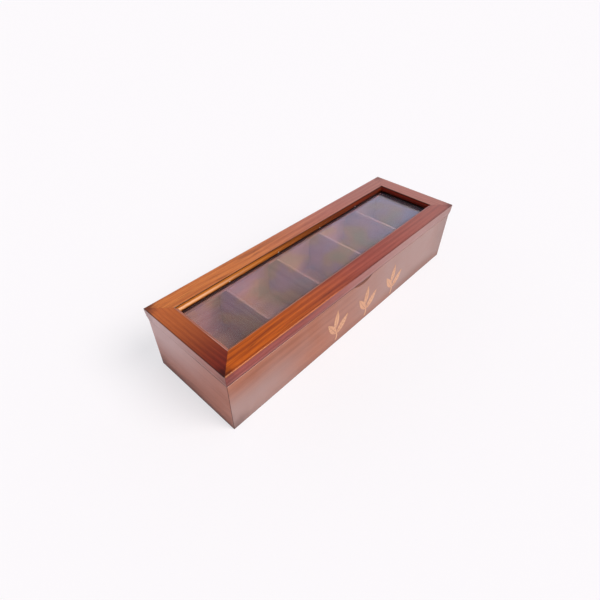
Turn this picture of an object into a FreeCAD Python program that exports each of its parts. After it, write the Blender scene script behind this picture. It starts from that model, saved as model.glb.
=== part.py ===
"""Wooden tea bag box with a glazed lid that is hinged at the back.

X runs along the box, -Y is its front, +Z is up. The origin is on the surface that the
box stands on, under its middle. All sizes are in millimetres.
"""
import FreeCAD
import Part
import Sketcher

import math
import os

V = FreeCAD.Vector

# Counts, which set how often a piece or a feature repeats
COMPARTMENTS = 5
KNUCKLES = 5
LONG_BEAD_BRAD_COUNT = 4
SHORT_BEAD_BRAD_COUNT = 2

# How a sketch's constraints number its axes and the points of an edge
ORIGIN_INDEX, ACROSS_AXIS_INDEX, UP_AXIS_INDEX = -1, -1, -2
START_INDEX, END_INDEX, CENTRE_INDEX = 1, 2, 3

# Driving sizes, one cell of the sheet for each
SIZES = {
    # Lid frame, measured over its top edge
    "lid_length": 380.0,
    "lid_depth": 117.2,
    "lid_height": 14.4,
    "rail_width": 20.3,
    # The outside of the lid leans in by lid_flare from its top to its lower edge,
    # most of it below the knee
    "lid_flare": 1.1,
    "knee_inset": 0.35,
    "knee_height": 4.8,
    "lid_edge_radius": 0.8,
    "window_edge_radius": 0.5,
    # Pane, the ledge that carries it and the strips that hold it down
    "glass_thickness": 2.0,
    "glass_drop": 7.0,
    "glass_play": 0.5,
    "ledge_width": 3.0,
    "bead_width": 3.0,
    "bead_height": 6.0,
    # Brads through the beads, cut from flat wire and thinner at the tip
    "brad_width": 1.2,
    "brad_thickness": 1.0,
    "brad_tip_thickness": 0.4,
    "brad_length": 9.0,
    "brad_rise": 2.0,
    "brad_play": 0.03,
    "brad_end_play": 0.3,
    "long_brad_pitch": 70.7,
    "short_brad_pitch": 40.0,
    # Walls of the box; the lid rests on the two ends, which stand higher by nearly the seam
    "base_height": 64.2,
    "seam_gap": 0.7,
    "rest_gap": 0.2,
    "wall": 7.0,
    "wall_edge_radius": 0.6,
    "corner_ease": 0.5,
    # Bottom, let into a groove of the walls
    "bottom_thickness": 3.0,
    "bottom_lift": 3.0,
    "groove_depth": 3.5,
    "groove_play": 0.1,
    # Dividers, let into dadoes of the front and the rear wall
    "divider_thickness": 3.0,
    "divider_edge_radius": 0.8,
    "divider_drop": 0.2,
    "dado_depth": 2.0,
    "dado_play": 0.1,
    # Finger notch in the front rim
    "notch_width": 32.0,
    "notch_depth": 4.0,
    # Hinges, over the end compartments; the lid stops where its rear lower edge meets the rim
    "hinge_length": 25.0,
    "barrel_radius": 1.35,
    "pin_radius": 0.6,
    "pin_play": 0.05,
    "knuckle_gap": 0.15,
    "leaf_thickness": 0.8,
    "leaf_reach": 5.4,
    "mortise_play": 0.2,
    # Screws of the hinge leaves
    "screw_setback": 3.6,
    "screw_spacing": 15.0,
    "screw_length": 8.0,
    "screw_head_radius": 1.3,
    "screw_head_height": 0.7,
    "screw_shank_radius": 0.7,
    "screw_play": 0.03,
    "screw_end_play": 0.3,
    # How far a cut runs past the solid that it cuts
    "overrun": 1.0,
}

# The lid's stop: the angle at which its lower rear edge meets the rim, in degrees
STOP_ANGLE = 101.0

doc = FreeCAD.newDocument("tea_bag_box")


def fill_sheet():
    """Write the driving sizes into the sheet, one aliased cell each."""
    sheet = doc.addObject("Spreadsheet::Sheet", "sizes")
    for row, (alias, amount) in enumerate(SIZES.items(), start=1):
        sheet.set(f"A{row}", alias)
        sheet.set(f"B{row}", str(amount))
        sheet.setAlias(f"B{row}", alias)
    doc.recompute()
    return sheet


sizes = fill_sheet()


def cell(alias):
    """Expression that reads one driving size."""
    if alias not in SIZES:
        raise KeyError(alias)
    return f"sizes.{alias}"


def amount_of(expression):
    """Number that an expression gives with the sheet as it is."""
    found = sizes.evalExpression(expression)
    return float(getattr(found, "Value", found))


# Sizes worked out from the driving ones
OVER = cell("overrun")
WALL = cell("wall")
RAIL = cell("rail_width")
BASE_HEIGHT = cell("base_height")
LID_BOTTOM = f"({BASE_HEIGHT} + {cell('seam_gap')})"
END_HEIGHT = f"({LID_BOTTOM} - {cell('rest_gap')})"
BASE_LENGTH = f"({cell('lid_length')} - 2 * {cell('lid_flare')})"
BASE_DEPTH = f"({cell('lid_depth')} - 2 * {cell('lid_flare')})"
INNER_LENGTH = f"({BASE_LENGTH} - 2 * {WALL})"
INNER_DEPTH = f"({BASE_DEPTH} - 2 * {WALL})"
WINDOW_LENGTH = f"({cell('lid_length')} - 2 * {RAIL})"
WINDOW_DEPTH = f"({cell('lid_depth')} - 2 * {RAIL})"
PANE_TOP = f"({cell('lid_height')} - {cell('glass_drop')})"
LEDGE_HEIGHT = f"({PANE_TOP} - {cell('glass_thickness')})"
BOTTOM_TOP = f"({cell('bottom_lift')} + {cell('bottom_thickness')})"
BRAD_HEIGHT = f"({PANE_TOP} + {cell('brad_rise')})"
HALF_SEAM = f"({cell('seam_gap')} / 2)"
PIN_HEIGHT = f"({BASE_HEIGHT} + {HALF_SEAM})"
PIN_INSET = f"({HALF_SEAM} / {math.tan(math.radians(STOP_ANGLE / 2)):.6f})"
PIN_OUT = f"({BASE_DEPTH} / 2 - {PIN_INSET})"
DIVIDER_PITCH = (
    f"(({INNER_LENGTH} - {COMPARTMENTS - 1} * {cell('divider_thickness')}) / {COMPARTMENTS}"
    f" + {cell('divider_thickness')})"
)
HINGE_OUT = f"({(COMPARTMENTS - 1) / 2} * {DIVIDER_PITCH})"

# Sides of the box: the direction that points inwards from each
INWARDS = {"front": (0, 1), "rear": (0, -1), "left": (1, 0), "right": (-1, 0)}


def row_of_places(count, pitch):
    """Places of a centred row, as expressions."""
    return [f"({index - (count - 1) / 2} * {pitch})" for index in range(count)]


def plane_of(body, role):
    """One of a body's own origin planes."""
    return next(plane for plane in body.Origin.OriginFeatures if plane.Role == role)


def new_body(label):
    """Empty body whose label names its sub-part."""
    body = doc.addObject("PartDesign::Body", label)
    body.Label = label
    return body


def new_sketch(body, name, role, offset=None):
    """Sketch on an origin plane of the body, moved along the plane's normal by an expression."""
    sketch = body.newObject("Sketcher::SketchObject", name)
    sketch.AttachmentSupport = [(plane_of(body, role), "")]
    sketch.MapMode = "FlatFace"
    if offset:
        sketch.setExpression("AttachmentOffset.Base.z", offset)
    return sketch


def pin_point(sketch, edge, corner, across, up):
    """Tie one point of an edge to the sketch's origin by two expressions."""
    origin = (ORIGIN_INDEX, START_INDEX)
    rules = (("DistanceX", UP_AXIS_INDEX, across), ("DistanceY", ACROSS_AXIS_INDEX, up))
    for kind, axis, expression in rules:
        if expression == "0":
            sketch.addConstraint(Sketcher.Constraint("PointOnObject", edge, corner, axis))
            continue
        rule = Sketcher.Constraint(kind, *origin, edge, corner, amount_of(expression))
        sketch.setExpression(f"Constraints[{sketch.addConstraint(rule)}]", expression)


def bowed_edge(start, end, radius):
    """Arc from start to end, under half a circle, that bows out to the right of the way."""
    chord = end - start
    half = chord.Length / 2
    sagitta = radius - math.sqrt(radius * radius - half * half)
    aside = V(chord.y, -chord.x, 0).normalize()
    return Part.Arc(start, (start + end) / 2 + aside * sagitta, end)


def add_outline(sketch, corners):
    """Closed outline, counter-clockwise, bound to the sheet.

    Each corner is (across, up) or (across, up, radius), in expressions; a radius makes the
    edge that leaves the corner an arc that bows outwards.
    """
    first = sketch.GeometryCount
    count = len(corners)
    places = [V(amount_of(corner[0]), amount_of(corner[1]), 0) for corner in corners]
    for index, corner in enumerate(corners):
        start = places[index]
        end = places[(index + 1) % count]
        if len(corner) == 3:
            edge = bowed_edge(start, end, amount_of(corner[2]))
        else:
            edge = Part.LineSegment(start, end)
        sketch.addGeometry(edge, False)
    for index, corner in enumerate(corners):
        following = first + (index + 1) % count
        sketch.addConstraint(
            Sketcher.Constraint("Coincident", first + index, END_INDEX, following, START_INDEX)
        )
        pin_point(sketch, first + index, START_INDEX, corner[0], corner[1])
        if len(corner) == 3:
            rule = Sketcher.Constraint("Radius", first + index, amount_of(corner[2]))
            sketch.setExpression(f"Constraints[{sketch.addConstraint(rule)}]", corner[2])


def add_rectangle(sketch, left, right, low, high):
    """Rectangle between four expressions."""
    add_outline(sketch, [(left, low), (right, low), (right, high), (left, high)])


def add_circle(sketch, across, up, radius):
    """Circle bound to the sheet by its centre and radius."""
    centre = V(amount_of(across), amount_of(up), 0)
    edge = sketch.addGeometry(Part.Circle(centre, V(0, 0, 1), amount_of(radius)), False)
    pin_point(sketch, edge, CENTRE_INDEX, across, up)
    rule = Sketcher.Constraint("Radius", edge, amount_of(radius))
    sketch.setExpression(f"Constraints[{sketch.addConstraint(rule)}]", radius)


def pad(body, sketch, length):
    """Pad a sketch by an expression, half to each side of its plane."""
    feature = body.newObject("PartDesign::Pad", "pad")
    feature.Profile = sketch
    feature.Midplane = True
    feature.setExpression("Length", length)
    sketch.Visibility = False
    doc.recompute()
    return feature


def pocket(body, sketch, depth, both_ways=False, towards_normal=False):
    """Cut a sketch into the body by an expression, and make sure that it takes wood away."""
    before = body.Shape.Volume
    feature = body.newObject("PartDesign::Pocket", "pocket")
    feature.Profile = sketch
    feature.Midplane = both_ways
    feature.Reversed = towards_normal
    feature.setExpression("Length", depth)
    sketch.Visibility = False
    doc.recompute()
    if body.Shape.Volume >= before:
        raise RuntimeError(f"{body.Label}: {sketch.Label} cuts nothing")
    return feature


def place(piece, across, along, up, rotation=None):
    """Set a piece's place by three expressions, and its turn."""
    piece.Placement = FreeCAD.Placement(V(), rotation or FreeCAD.Rotation())
    for axis, expression in zip("xyz", (across, along, up)):
        piece.setExpression(f"Placement.Base.{axis}", expression)


def turn_to(direction):
    """Turn about Z that points a piece's own Y in a direction."""
    across, along = direction
    return FreeCAD.Rotation(V(0, 0, 1), math.degrees(math.atan2(along, across)) - 90)


# Mitred bars, which make the walls, the rails and the beads


def mitred_bar(label, length, reach, section, ease=None):
    """Bar of one section with both ends cut at 45 degrees.

    In its own frame it runs along X, and Y points inwards from its outer edge, over which
    length is measured. reach is how far the section goes inwards. ease takes the sharp
    corner off both ends, so that two bars meet in a narrow flat.
    """
    body = new_body(label)
    profile = new_sketch(body, "section", "YZ_Plane")
    add_outline(profile, section)
    pad(body, profile, length)
    tip = f"(-{length} / 2 - {OVER})"
    heel = f"(-{length} / 2 + {reach} + {OVER})"
    back = f"({reach} + {OVER})"
    waste = [(tip, f"-{OVER}"), (heel, back), (tip, back)]
    if ease:
        eased = f"({ease} - {length} / 2)"
        middle = f"({ease} / 2 - {length} / 2)"
        waste[1:1] = [(eased, f"-{OVER}"), (eased, "0"), (middle, f"({ease} / 2)")]
    mitre = new_sketch(body, "mitre", "XY_Plane")
    add_outline(mitre, waste)
    cut = pocket(body, mitre, f"2 * ({END_HEIGHT} + {OVER})", both_ways=True)
    far_end = body.newObject("PartDesign::Mirrored", "far_mitre")
    far_end.Originals = [cut]
    far_end.MirrorPlane = (plane_of(body, "YZ_Plane"), [""])
    body.Tip = far_end
    doc.recompute()
    return body


def place_bar(body, side, half, up):
    """Set a mitred bar on one side of the box, its outer edge half out from the middle."""
    inward = INWARDS[side]
    place(body, f"{-inward[0]} * {half}", f"{-inward[1]} * {half}", up, turn_to(inward))


def wall_section(height, top_radius):
    """Outline of a wall: grooved for the bottom, its outer edges eased."""
    ease = cell("wall_edge_radius")
    groove_low = cell("bottom_lift")
    groove_high = f"({BOTTOM_TOP} + 2 * {cell('groove_play')})"
    groove_in = f"({WALL} - {cell('groove_depth')})"
    section = [
        (ease, "0"),
        (WALL, "0"),
        (WALL, groove_low),
        (groove_in, groove_low),
        (groove_in, groove_high),
        (WALL, groove_high),
        (WALL, height),
    ]
    if top_radius:
        section += [(top_radius, height, top_radius), ("0", f"({height} - {top_radius})")]
    else:
        section += [("0", height)]
    section += [("0", ease, ease)]
    return section


def rail_section():
    """Outline of a lid rail: flared outside, with a ledge for the pane inside."""
    edge = cell("lid_edge_radius")
    window_edge = cell("window_edge_radius")
    height = cell("lid_height")
    ledge_in = f"({RAIL} + {cell('ledge_width')})"
    return [
        (cell("lid_flare"), "0"),
        (ledge_in, "0"),
        (ledge_in, LEDGE_HEIGHT),
        (RAIL, LEDGE_HEIGHT),
        (RAIL, f"({height} - {window_edge})", window_edge),
        (f"({RAIL} - {window_edge})", height),
        (edge, height, edge),
        ("0", f"({height} - {edge})"),
        (cell("knee_inset"), cell("knee_height")),
    ]


def bead_section():
    """Outline of a glazing bead: upright, its inner top edge a quarter round."""
    width = cell("bead_width")
    height = cell("bead_height")
    return [("0", "0"), (width, "0"), (width, f"({height} - {width})", width), ("0", height)]


# Features of the box walls


def cut_dadoes(body):
    """Upright dadoes in a wall's inner face, one for each divider, open at the top."""
    half = f"({cell('divider_thickness')} / 2 + {cell('dado_play')})"
    floor = f"({WALL} - {cell('dado_depth')})"
    sketch = new_sketch(body, "dadoes", "XY_Plane", BASE_HEIGHT)
    for middle in row_of_places(COMPARTMENTS - 1, DIVIDER_PITCH):
        add_rectangle(
            sketch, f"({middle} - {half})", f"({middle} + {half})", floor, f"({WALL} + {OVER})"
        )
    pocket(body, sketch, f"{BASE_HEIGHT} - {BOTTOM_TOP}")


def cut_finger_notch(body):
    """Shallow arc in the middle of the front rim."""
    half = f"({cell('notch_width')} / 2)"
    depth = cell("notch_depth")
    radius = f"(({half} * {half} + {depth} * {depth}) / (2 * {depth}))"
    sketch = new_sketch(body, "finger_notch", "XZ_Plane")
    above = f"({BASE_HEIGHT} + {OVER})"
    corners = [
        (half, BASE_HEIGHT),
        (half, above),
        (f"-{half}", above),
        (f"-{half}", BASE_HEIGHT, radius),
    ]
    add_outline(sketch, corners)
    pocket(body, sketch, f"2 * ({WALL} + {OVER})", both_ways=True)


def cut_hinge_seats(body, face, outer_edge, upwards):
    """Mortises for two leaves, notches for their barrels, and screw holes.

    face is the height of the face that the leaves lie in, and outer_edge how far that
    face's rear edge lies inwards in the bar's frame. upwards cuts up into a rail and not
    down into a wall.
    """
    half = f"({cell('hinge_length')} / 2 + {cell('mortise_play')})"
    pin = f"({outer_edge} + {PIN_INSET})"
    leaf_end = f"({pin} + {cell('leaf_reach')} + {cell('mortise_play')})"
    barrel_end = f"({pin} + {cell('barrel_radius')} + {cell('mortise_play')})"
    barrel_depth = f"({cell('barrel_radius')} + {cell('mortise_play')} - {HALF_SEAM})"
    seats = (
        ("leaf_mortises", leaf_end, cell("leaf_thickness")),
        ("barrel_notches", barrel_end, barrel_depth),
    )
    hinges = row_of_places(2, f"(2 * {HINGE_OUT})")
    for name, far, depth in seats:
        sketch = new_sketch(body, name, "XY_Plane", face)
        for middle in hinges:
            add_rectangle(
                sketch, f"({middle} - {half})", f"({middle} + {half})", f"-{OVER}", far
            )
        pocket(body, sketch, depth, towards_normal=upwards)
    sketch = new_sketch(body, "screw_holes", "XY_Plane", face)
    for middle in hinges:
        for aside in row_of_places(2, cell("screw_spacing")):
            add_circle(
                sketch,
                f"({middle} + {aside})",
                f"({pin} + {cell('screw_setback')})",
                f"({cell('screw_shank_radius')} + {cell('screw_play')})",
            )
    depth = f"({cell('screw_length')} + {cell('screw_end_play')})"
    pocket(body, sketch, depth, towards_normal=upwards)


def make_walls():
    """Four mitred walls of the box."""
    ease = cell("wall_edge_radius")
    walls = {
        "front": ("front_panel", BASE_LENGTH, BASE_DEPTH, BASE_HEIGHT, ease),
        "rear": ("rear_panel", BASE_LENGTH, BASE_DEPTH, BASE_HEIGHT, None),
        "left": ("left_end_panel", BASE_DEPTH, BASE_LENGTH, END_HEIGHT, None),
        "right": ("right_end_panel", BASE_DEPTH, BASE_LENGTH, END_HEIGHT, None),
    }
    made = {}
    for side, (label, length, span, height, top_radius) in walls.items():
        section = wall_section(height, top_radius)
        body = mitred_bar(label, length, WALL, section, cell("corner_ease"))
        place_bar(body, side, f"({span} / 2)", "0")
        made[side] = body
    cut_dadoes(made["front"])
    cut_dadoes(made["rear"])
    cut_finger_notch(made["front"])
    cut_hinge_seats(made["rear"], BASE_HEIGHT, "0", upwards=False)
    return list(made.values())


def make_bottom():
    """Thin bottom, its edges in the groove of the walls."""
    body = new_body("base_panel")
    reach = f"(2 * ({cell('groove_depth')} - {cell('groove_play')}))"
    length = f"({INNER_LENGTH} + {reach})"
    depth = f"({INNER_DEPTH} + {reach})"
    sketch = new_sketch(body, "section", "YZ_Plane")
    add_rectangle(sketch, f"-{depth} / 2", f"{depth} / 2", cell("bottom_lift"), BOTTOM_TOP)
    pad(body, sketch, length)
    return [body]


def make_dividers():
    """Dividers across the box, their top edges eased."""
    half = f"({cell('divider_thickness')} / 2)"
    ease = cell("divider_edge_radius")
    top = f"({BASE_HEIGHT} - {cell('divider_drop')})"
    shoulder = f"({top} - {ease})"
    length = f"({INNER_DEPTH} + 2 * ({cell('dado_depth')} - {cell('dado_play')}))"
    made = []
    for number, middle in enumerate(row_of_places(COMPARTMENTS - 1, DIVIDER_PITCH), start=1):
        body = new_body(f"divider_{number}")
        sketch = new_sketch(body, "section", "XZ_Plane")
        corners = [
            (f"-{half}", BOTTOM_TOP),
            (half, BOTTOM_TOP),
            (half, shoulder, ease),
            (f"({half} - {ease})", top),
            (f"({ease} - {half})", top, ease),
            (f"-{half}", shoulder),
        ]
        add_outline(sketch, corners)
        pad(body, sketch, length)
        place(body, middle, "0", "0")
        made.append(body)
    return made


# Lid


def bead_brad_places(side):
    """Where the brads of one side lie along its bead, as expressions."""
    if side in ("front", "rear"):
        return row_of_places(LONG_BEAD_BRAD_COUNT, cell("long_brad_pitch"))
    return row_of_places(SHORT_BEAD_BRAD_COUNT, cell("short_brad_pitch"))


def cut_brad_holes(body, side, face, height, depth):
    """Fine holes into a bar's inner face for the brads of its side."""
    half_width = f"({cell('brad_width')} / 2 + {cell('brad_play')})"
    half_height = f"({cell('brad_thickness')} / 2 + {cell('brad_play')})"
    low = f"({height} - {half_height})"
    high = f"({height} + {half_height})"
    sketch = new_sketch(body, "brad_holes", "XZ_Plane", f"-{face}")
    for along in bead_brad_places(side):
        add_rectangle(
            sketch, f"({along} - {half_width})", f"({along} + {half_width})", low, high
        )
    pocket(body, sketch, depth, towards_normal=True)


def make_lid_frame():
    """Four mitred rails and the four mitred beads inside them."""
    spans = {
        "front": (cell("lid_length"), cell("lid_depth"), WINDOW_LENGTH, WINDOW_DEPTH),
        "rear": (cell("lid_length"), cell("lid_depth"), WINDOW_LENGTH, WINDOW_DEPTH),
        "left": (cell("lid_depth"), cell("lid_length"), WINDOW_DEPTH, WINDOW_LENGTH),
        "right": (cell("lid_depth"), cell("lid_length"), WINDOW_DEPTH, WINDOW_LENGTH),
    }
    reach = f"({RAIL} + {cell('ledge_width')})"
    hole_depth = (
        f"({cell('brad_length')} - {cell('bead_width')} + {cell('brad_end_play')})"
    )
    made = []
    for side, (length, span, window, window_span) in spans.items():
        rail = mitred_bar(f"lid_{side}_rail", length, reach, rail_section())
        cut_brad_holes(rail, side, RAIL, BRAD_HEIGHT, hole_depth)
        if side == "rear":
            cut_hinge_seats(rail, "0", cell("lid_flare"), upwards=True)
        place_bar(rail, side, f"({span} / 2)", LID_BOTTOM)
        bead = mitred_bar(f"{side}_glazing_bead", window, cell("bead_width"), bead_section())
        cut_brad_holes(
            bead, side, cell("bead_width"), cell("brad_rise"), f"{cell('bead_width')} + {OVER}"
        )
        place_bar(bead, side, f"({window_span} / 2)", f"{LID_BOTTOM} + {PANE_TOP}")
        made += [rail, bead]
    return made


def make_pane():
    """Glass that lies on the ledges of the rails."""
    body = new_body("lid_glass")
    half_length = f"({WINDOW_LENGTH} / 2 - {cell('glass_play')})"
    half_depth = f"({WINDOW_DEPTH} / 2 - {cell('glass_play')})"
    sketch = new_sketch(body, "section", "YZ_Plane")
    add_rectangle(sketch, f"-{half_depth}", half_depth, LEDGE_HEIGHT, PANE_TOP)
    pad(body, sketch, f"2 * {half_length}")
    place(body, "0", "0", LID_BOTTOM)
    return [body]


def brad_limits():
    """Limits of a brad as a wedge: its head at Y 0, its length along Y."""
    half_width = f"{cell('brad_width')} / 2"
    half_head = f"{cell('brad_thickness')} / 2"
    half_tip = f"{cell('brad_tip_thickness')} / 2"
    return {
        "Xmin": f"-{half_width}",
        "Xmax": half_width,
        "X2min": f"-{half_width}",
        "X2max": half_width,
        "Ymin": "0",
        "Ymax": cell("brad_length"),
        "Zmin": f"-{half_head}",
        "Zmax": half_head,
        "Z2min": f"-{half_tip}",
        "Z2max": half_tip,
    }


def make_brads():
    """Brads that go through the beads into the rails, flush with the beads' faces."""
    spans = {
        "front": cell("lid_depth"),
        "rear": cell("lid_depth"),
        "left": cell("lid_length"),
        "right": cell("lid_length"),
    }
    brads = []
    for side, span in spans.items():
        inward = INWARDS[side]
        outward = (-inward[0], -inward[1])
        along = (inward[1], -inward[0])
        face = f"({RAIL} + {cell('bead_width')} - {span} / 2)"
        for distance in bead_brad_places(side):
            brad = doc.addObject("Part::Wedge", "brad")
            for limit, expression in brad_limits().items():
                brad.setExpression(limit, expression)
            place(
                brad,
                f"{inward[0]} * {face} + {along[0]} * {distance}",
                f"{inward[1]} * {face} + {along[1]} * {distance}",
                f"{LID_BOTTOM} + {BRAD_HEIGHT}",
                turn_to(outward),
            )
            brads.append(brad)
    return [group_of("bead_brads", brads)]


def group_of(label, pieces):
    """One sub-part of several separate solids."""
    group = doc.addObject("Part::Compound", label)
    group.Label = label
    group.Links = pieces
    doc.recompute()
    return group


# Hinges, each in its own frame: X along the pin, Y out of the rear face


def knuckle_edges(index):
    """Both ends of the slot that a leaf leaves for a knuckle of the other leaf."""
    low = f"{cell('hinge_length')} * {index / KNUCKLES - 0.5} - {cell('knuckle_gap')} / 2"
    high = f"{cell('hinge_length')} * {(index + 1) / KNUCKLES - 0.5} + {cell('knuckle_gap')} / 2"
    if index == 0:
        low += f" - {OVER}"
    if index == KNUCKLES - 1:
        high += f" + {OVER}"
    return f"({low})", f"({high})"


def hinge_leaf(label, side, other_knuckles, across, turn):
    """Leaf with its share of the knuckles, bored for the pin and countersunk for screws."""
    body = new_body(label)
    barrel = new_sketch(body, "barrel", "YZ_Plane")
    add_circle(barrel, "0", "0", cell("barrel_radius"))
    pad(body, barrel, cell("hinge_length"))
    leaf = new_sketch(body, "leaf", "YZ_Plane")
    leaf_low = f"(-{HALF_SEAM} - {cell('leaf_thickness')})"
    leaf_high = f"-{HALF_SEAM}"
    add_rectangle(leaf, f"-{cell('leaf_reach')}", "0", leaf_low, leaf_high)
    pad(body, leaf, cell("hinge_length"))
    bore = new_sketch(body, "bore", "YZ_Plane")
    add_circle(bore, "0", "0", f"({cell('pin_radius')} + {cell('pin_play')})")
    pocket(body, bore, f"{cell('hinge_length')} + 2 * {OVER}", both_ways=True)
    clear = f"({cell('barrel_radius')} + {cell('knuckle_gap')})"
    slots = new_sketch(body, "slots", "XY_Plane")
    for index in other_knuckles:
        low, high = knuckle_edges(index)
        add_rectangle(slots, low, high, f"-{clear}", clear)
    pocket(body, slots, f"2 * ({cell('barrel_radius')} + {OVER})", both_ways=True)
    countersink(body, leaf_high)
    place(body, f"{side} * {HINGE_OUT}", across, PIN_HEIGHT, turn)
    return body


def countersink(body, face):
    """Two countersunk screw holes in a leaf."""
    play = cell("screw_play")
    shank = f"({cell('screw_shank_radius')} + {play})"
    head = f"({cell('screw_head_radius')} + {play})"
    lean = f"atan(({head} - {shank}) / {cell('screw_head_height')})"
    for name, radius, depth in (
        ("screw_holes", shank, f"({cell('leaf_thickness')} + {OVER})"),
        ("countersinks", head, cell("screw_head_height")),
    ):
        sketch = new_sketch(body, name, "XY_Plane", face)
        for aside in row_of_places(2, cell("screw_spacing")):
            add_circle(sketch, aside, f"-{cell('screw_setback')}", radius)
        cut = pocket(body, sketch, depth)
        if name == "countersinks":
            cut.setExpression("TaperAngle", f"-{lean}")
            doc.recompute()


def screw_group(label, head_height, turn):
    """Four countersunk screws, two for each leaf, their heads at one height."""
    screws = []
    head = cell("screw_head_height")
    for hinge in row_of_places(2, f"(2 * {HINGE_OUT})"):
        for aside in row_of_places(2, cell("screw_spacing")):
            shank = doc.addObject("Part::Cylinder", "screw_shank")
            shank.setExpression("Radius", cell("screw_shank_radius"))
            shank.setExpression("Height", f"{cell('screw_length')} - {head}")
            place(shank, "0", "0", f"-{cell('screw_length')}")
            top = doc.addObject("Part::Cone", "screw_head")
            top.setExpression("Radius1", cell("screw_shank_radius"))
            top.setExpression("Radius2", cell("screw_head_radius"))
            top.setExpression("Height", head)
            place(top, "0", "0", f"-{head}")
            screw = doc.addObject("Part::MultiFuse", "screw")
            screw.Shapes = [shank, top]
            place(
                screw,
                f"{hinge} + {aside}",
                f"{PIN_OUT} - {cell('screw_setback')}",
                head_height,
                turn,
            )
            screws.append(screw)
    return group_of(label, screws)


def make_hinges():
    """Two butt hinges: box leaf, lid leaf and pin, and the screws of their leaves."""
    upright = FreeCAD.Rotation()
    turned = FreeCAD.Rotation(V(0, 1, 0), 180)
    made = []
    for name, side in (("left", -1), ("right", 1)):
        lid_knuckles = range(1, KNUCKLES, 2)
        box_knuckles = range(0, KNUCKLES, 2)
        made.append(
            hinge_leaf(f"{name}_hinge_box_leaf", side, lid_knuckles, PIN_OUT, upright)
        )
        made.append(
            hinge_leaf(f"{name}_hinge_lid_leaf", side, box_knuckles, PIN_OUT, turned)
        )
        pin = new_body(f"{name}_hinge_pin")
        sketch = new_sketch(pin, "section", "YZ_Plane")
        add_circle(sketch, "0", "0", cell("pin_radius"))
        pad(pin, sketch, cell("hinge_length"))
        place(pin, f"{side} * {HINGE_OUT}", PIN_OUT, PIN_HEIGHT)
        made.append(pin)
    made.append(screw_group("box_leaf_screws", BASE_HEIGHT, upright))
    made.append(screw_group("lid_leaf_screws", LID_BOTTOM, turned))
    return made


def write_parts(pieces):
    """Check every object of the document, then write each sub-part to its own file."""
    doc.recompute()
    failed = [
        item.Label
        for item in doc.Objects
        if "Invalid" in item.State or "Error" in item.State
    ]
    failed += [piece.Label for piece in pieces if piece.Shape.isNull() or not piece.Shape.isValid()]
    if failed:
        raise RuntimeError(f"failed: {failed}")
    os.makedirs("parts", exist_ok=True)
    for piece in pieces:
        piece.Shape.exportStep(f"parts/{piece.Label}.step")
        print(f"{piece.Label}: {len(piece.Shape.Solids)} solids, {piece.Shape.Volume:.1f} mm3")


write_parts(
    make_walls()
    + make_bottom()
    + make_dividers()
    + make_lid_frame()
    + make_pane()
    + make_brads()
    + make_hinges()
)
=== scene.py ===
"""Looks of a wooden tea bag box whose lid is a mitred frame with a glass pane.

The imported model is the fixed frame: metres, X along the box, -Y its front, +Z up. Each
finish is a class that makes one material. Each sub-assembly is a class that dresses its
nodes and builds the pieces that are left to the looks.
"""

import logging
import math
from dataclasses import dataclass
from enum import Enum

import bmesh
import bpy
import numpy as np
from mathutils import Matrix, Vector


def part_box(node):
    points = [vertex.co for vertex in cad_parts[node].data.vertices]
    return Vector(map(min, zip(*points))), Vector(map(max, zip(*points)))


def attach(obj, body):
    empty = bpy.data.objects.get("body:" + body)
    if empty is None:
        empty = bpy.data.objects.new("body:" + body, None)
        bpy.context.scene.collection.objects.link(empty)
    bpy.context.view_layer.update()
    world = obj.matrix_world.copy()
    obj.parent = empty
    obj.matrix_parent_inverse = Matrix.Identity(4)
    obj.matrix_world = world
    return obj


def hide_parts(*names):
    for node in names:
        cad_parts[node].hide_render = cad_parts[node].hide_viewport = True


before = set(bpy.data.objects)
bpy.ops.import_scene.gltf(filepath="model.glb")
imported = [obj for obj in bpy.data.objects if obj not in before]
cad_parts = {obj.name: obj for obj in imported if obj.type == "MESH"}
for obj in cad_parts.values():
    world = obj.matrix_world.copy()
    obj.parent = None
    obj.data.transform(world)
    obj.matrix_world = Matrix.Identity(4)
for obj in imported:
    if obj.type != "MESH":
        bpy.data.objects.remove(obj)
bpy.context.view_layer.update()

LOG = logging.getLogger("tea_bag_box")
MM = 0.001
NOISE_MIDDLE = 0.5

Colour = tuple[float, float, float, float]
Stops = list[tuple[float, Colour]]
Span = tuple[float, float]
Cells = tuple[float, float, float]


def srgb(code: str) -> Colour:
    """Linear colour of a hex code, by the standard curve of sRGB.

    Args:
        code: Code such as "#a04a1a".

    Returns:
        Linear red, green and blue, and an alpha of 1.
    """
    levels = [int(code[place : place + 2], 16) / 255 for place in (1, 3, 5)]
    linear = [
        level / 12.92 if level <= 0.04045 else ((level + 0.055) / 1.055) ** 2.4
        for level in levels
    ]
    return (*linear, 1.0)


# Shader expressions


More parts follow.
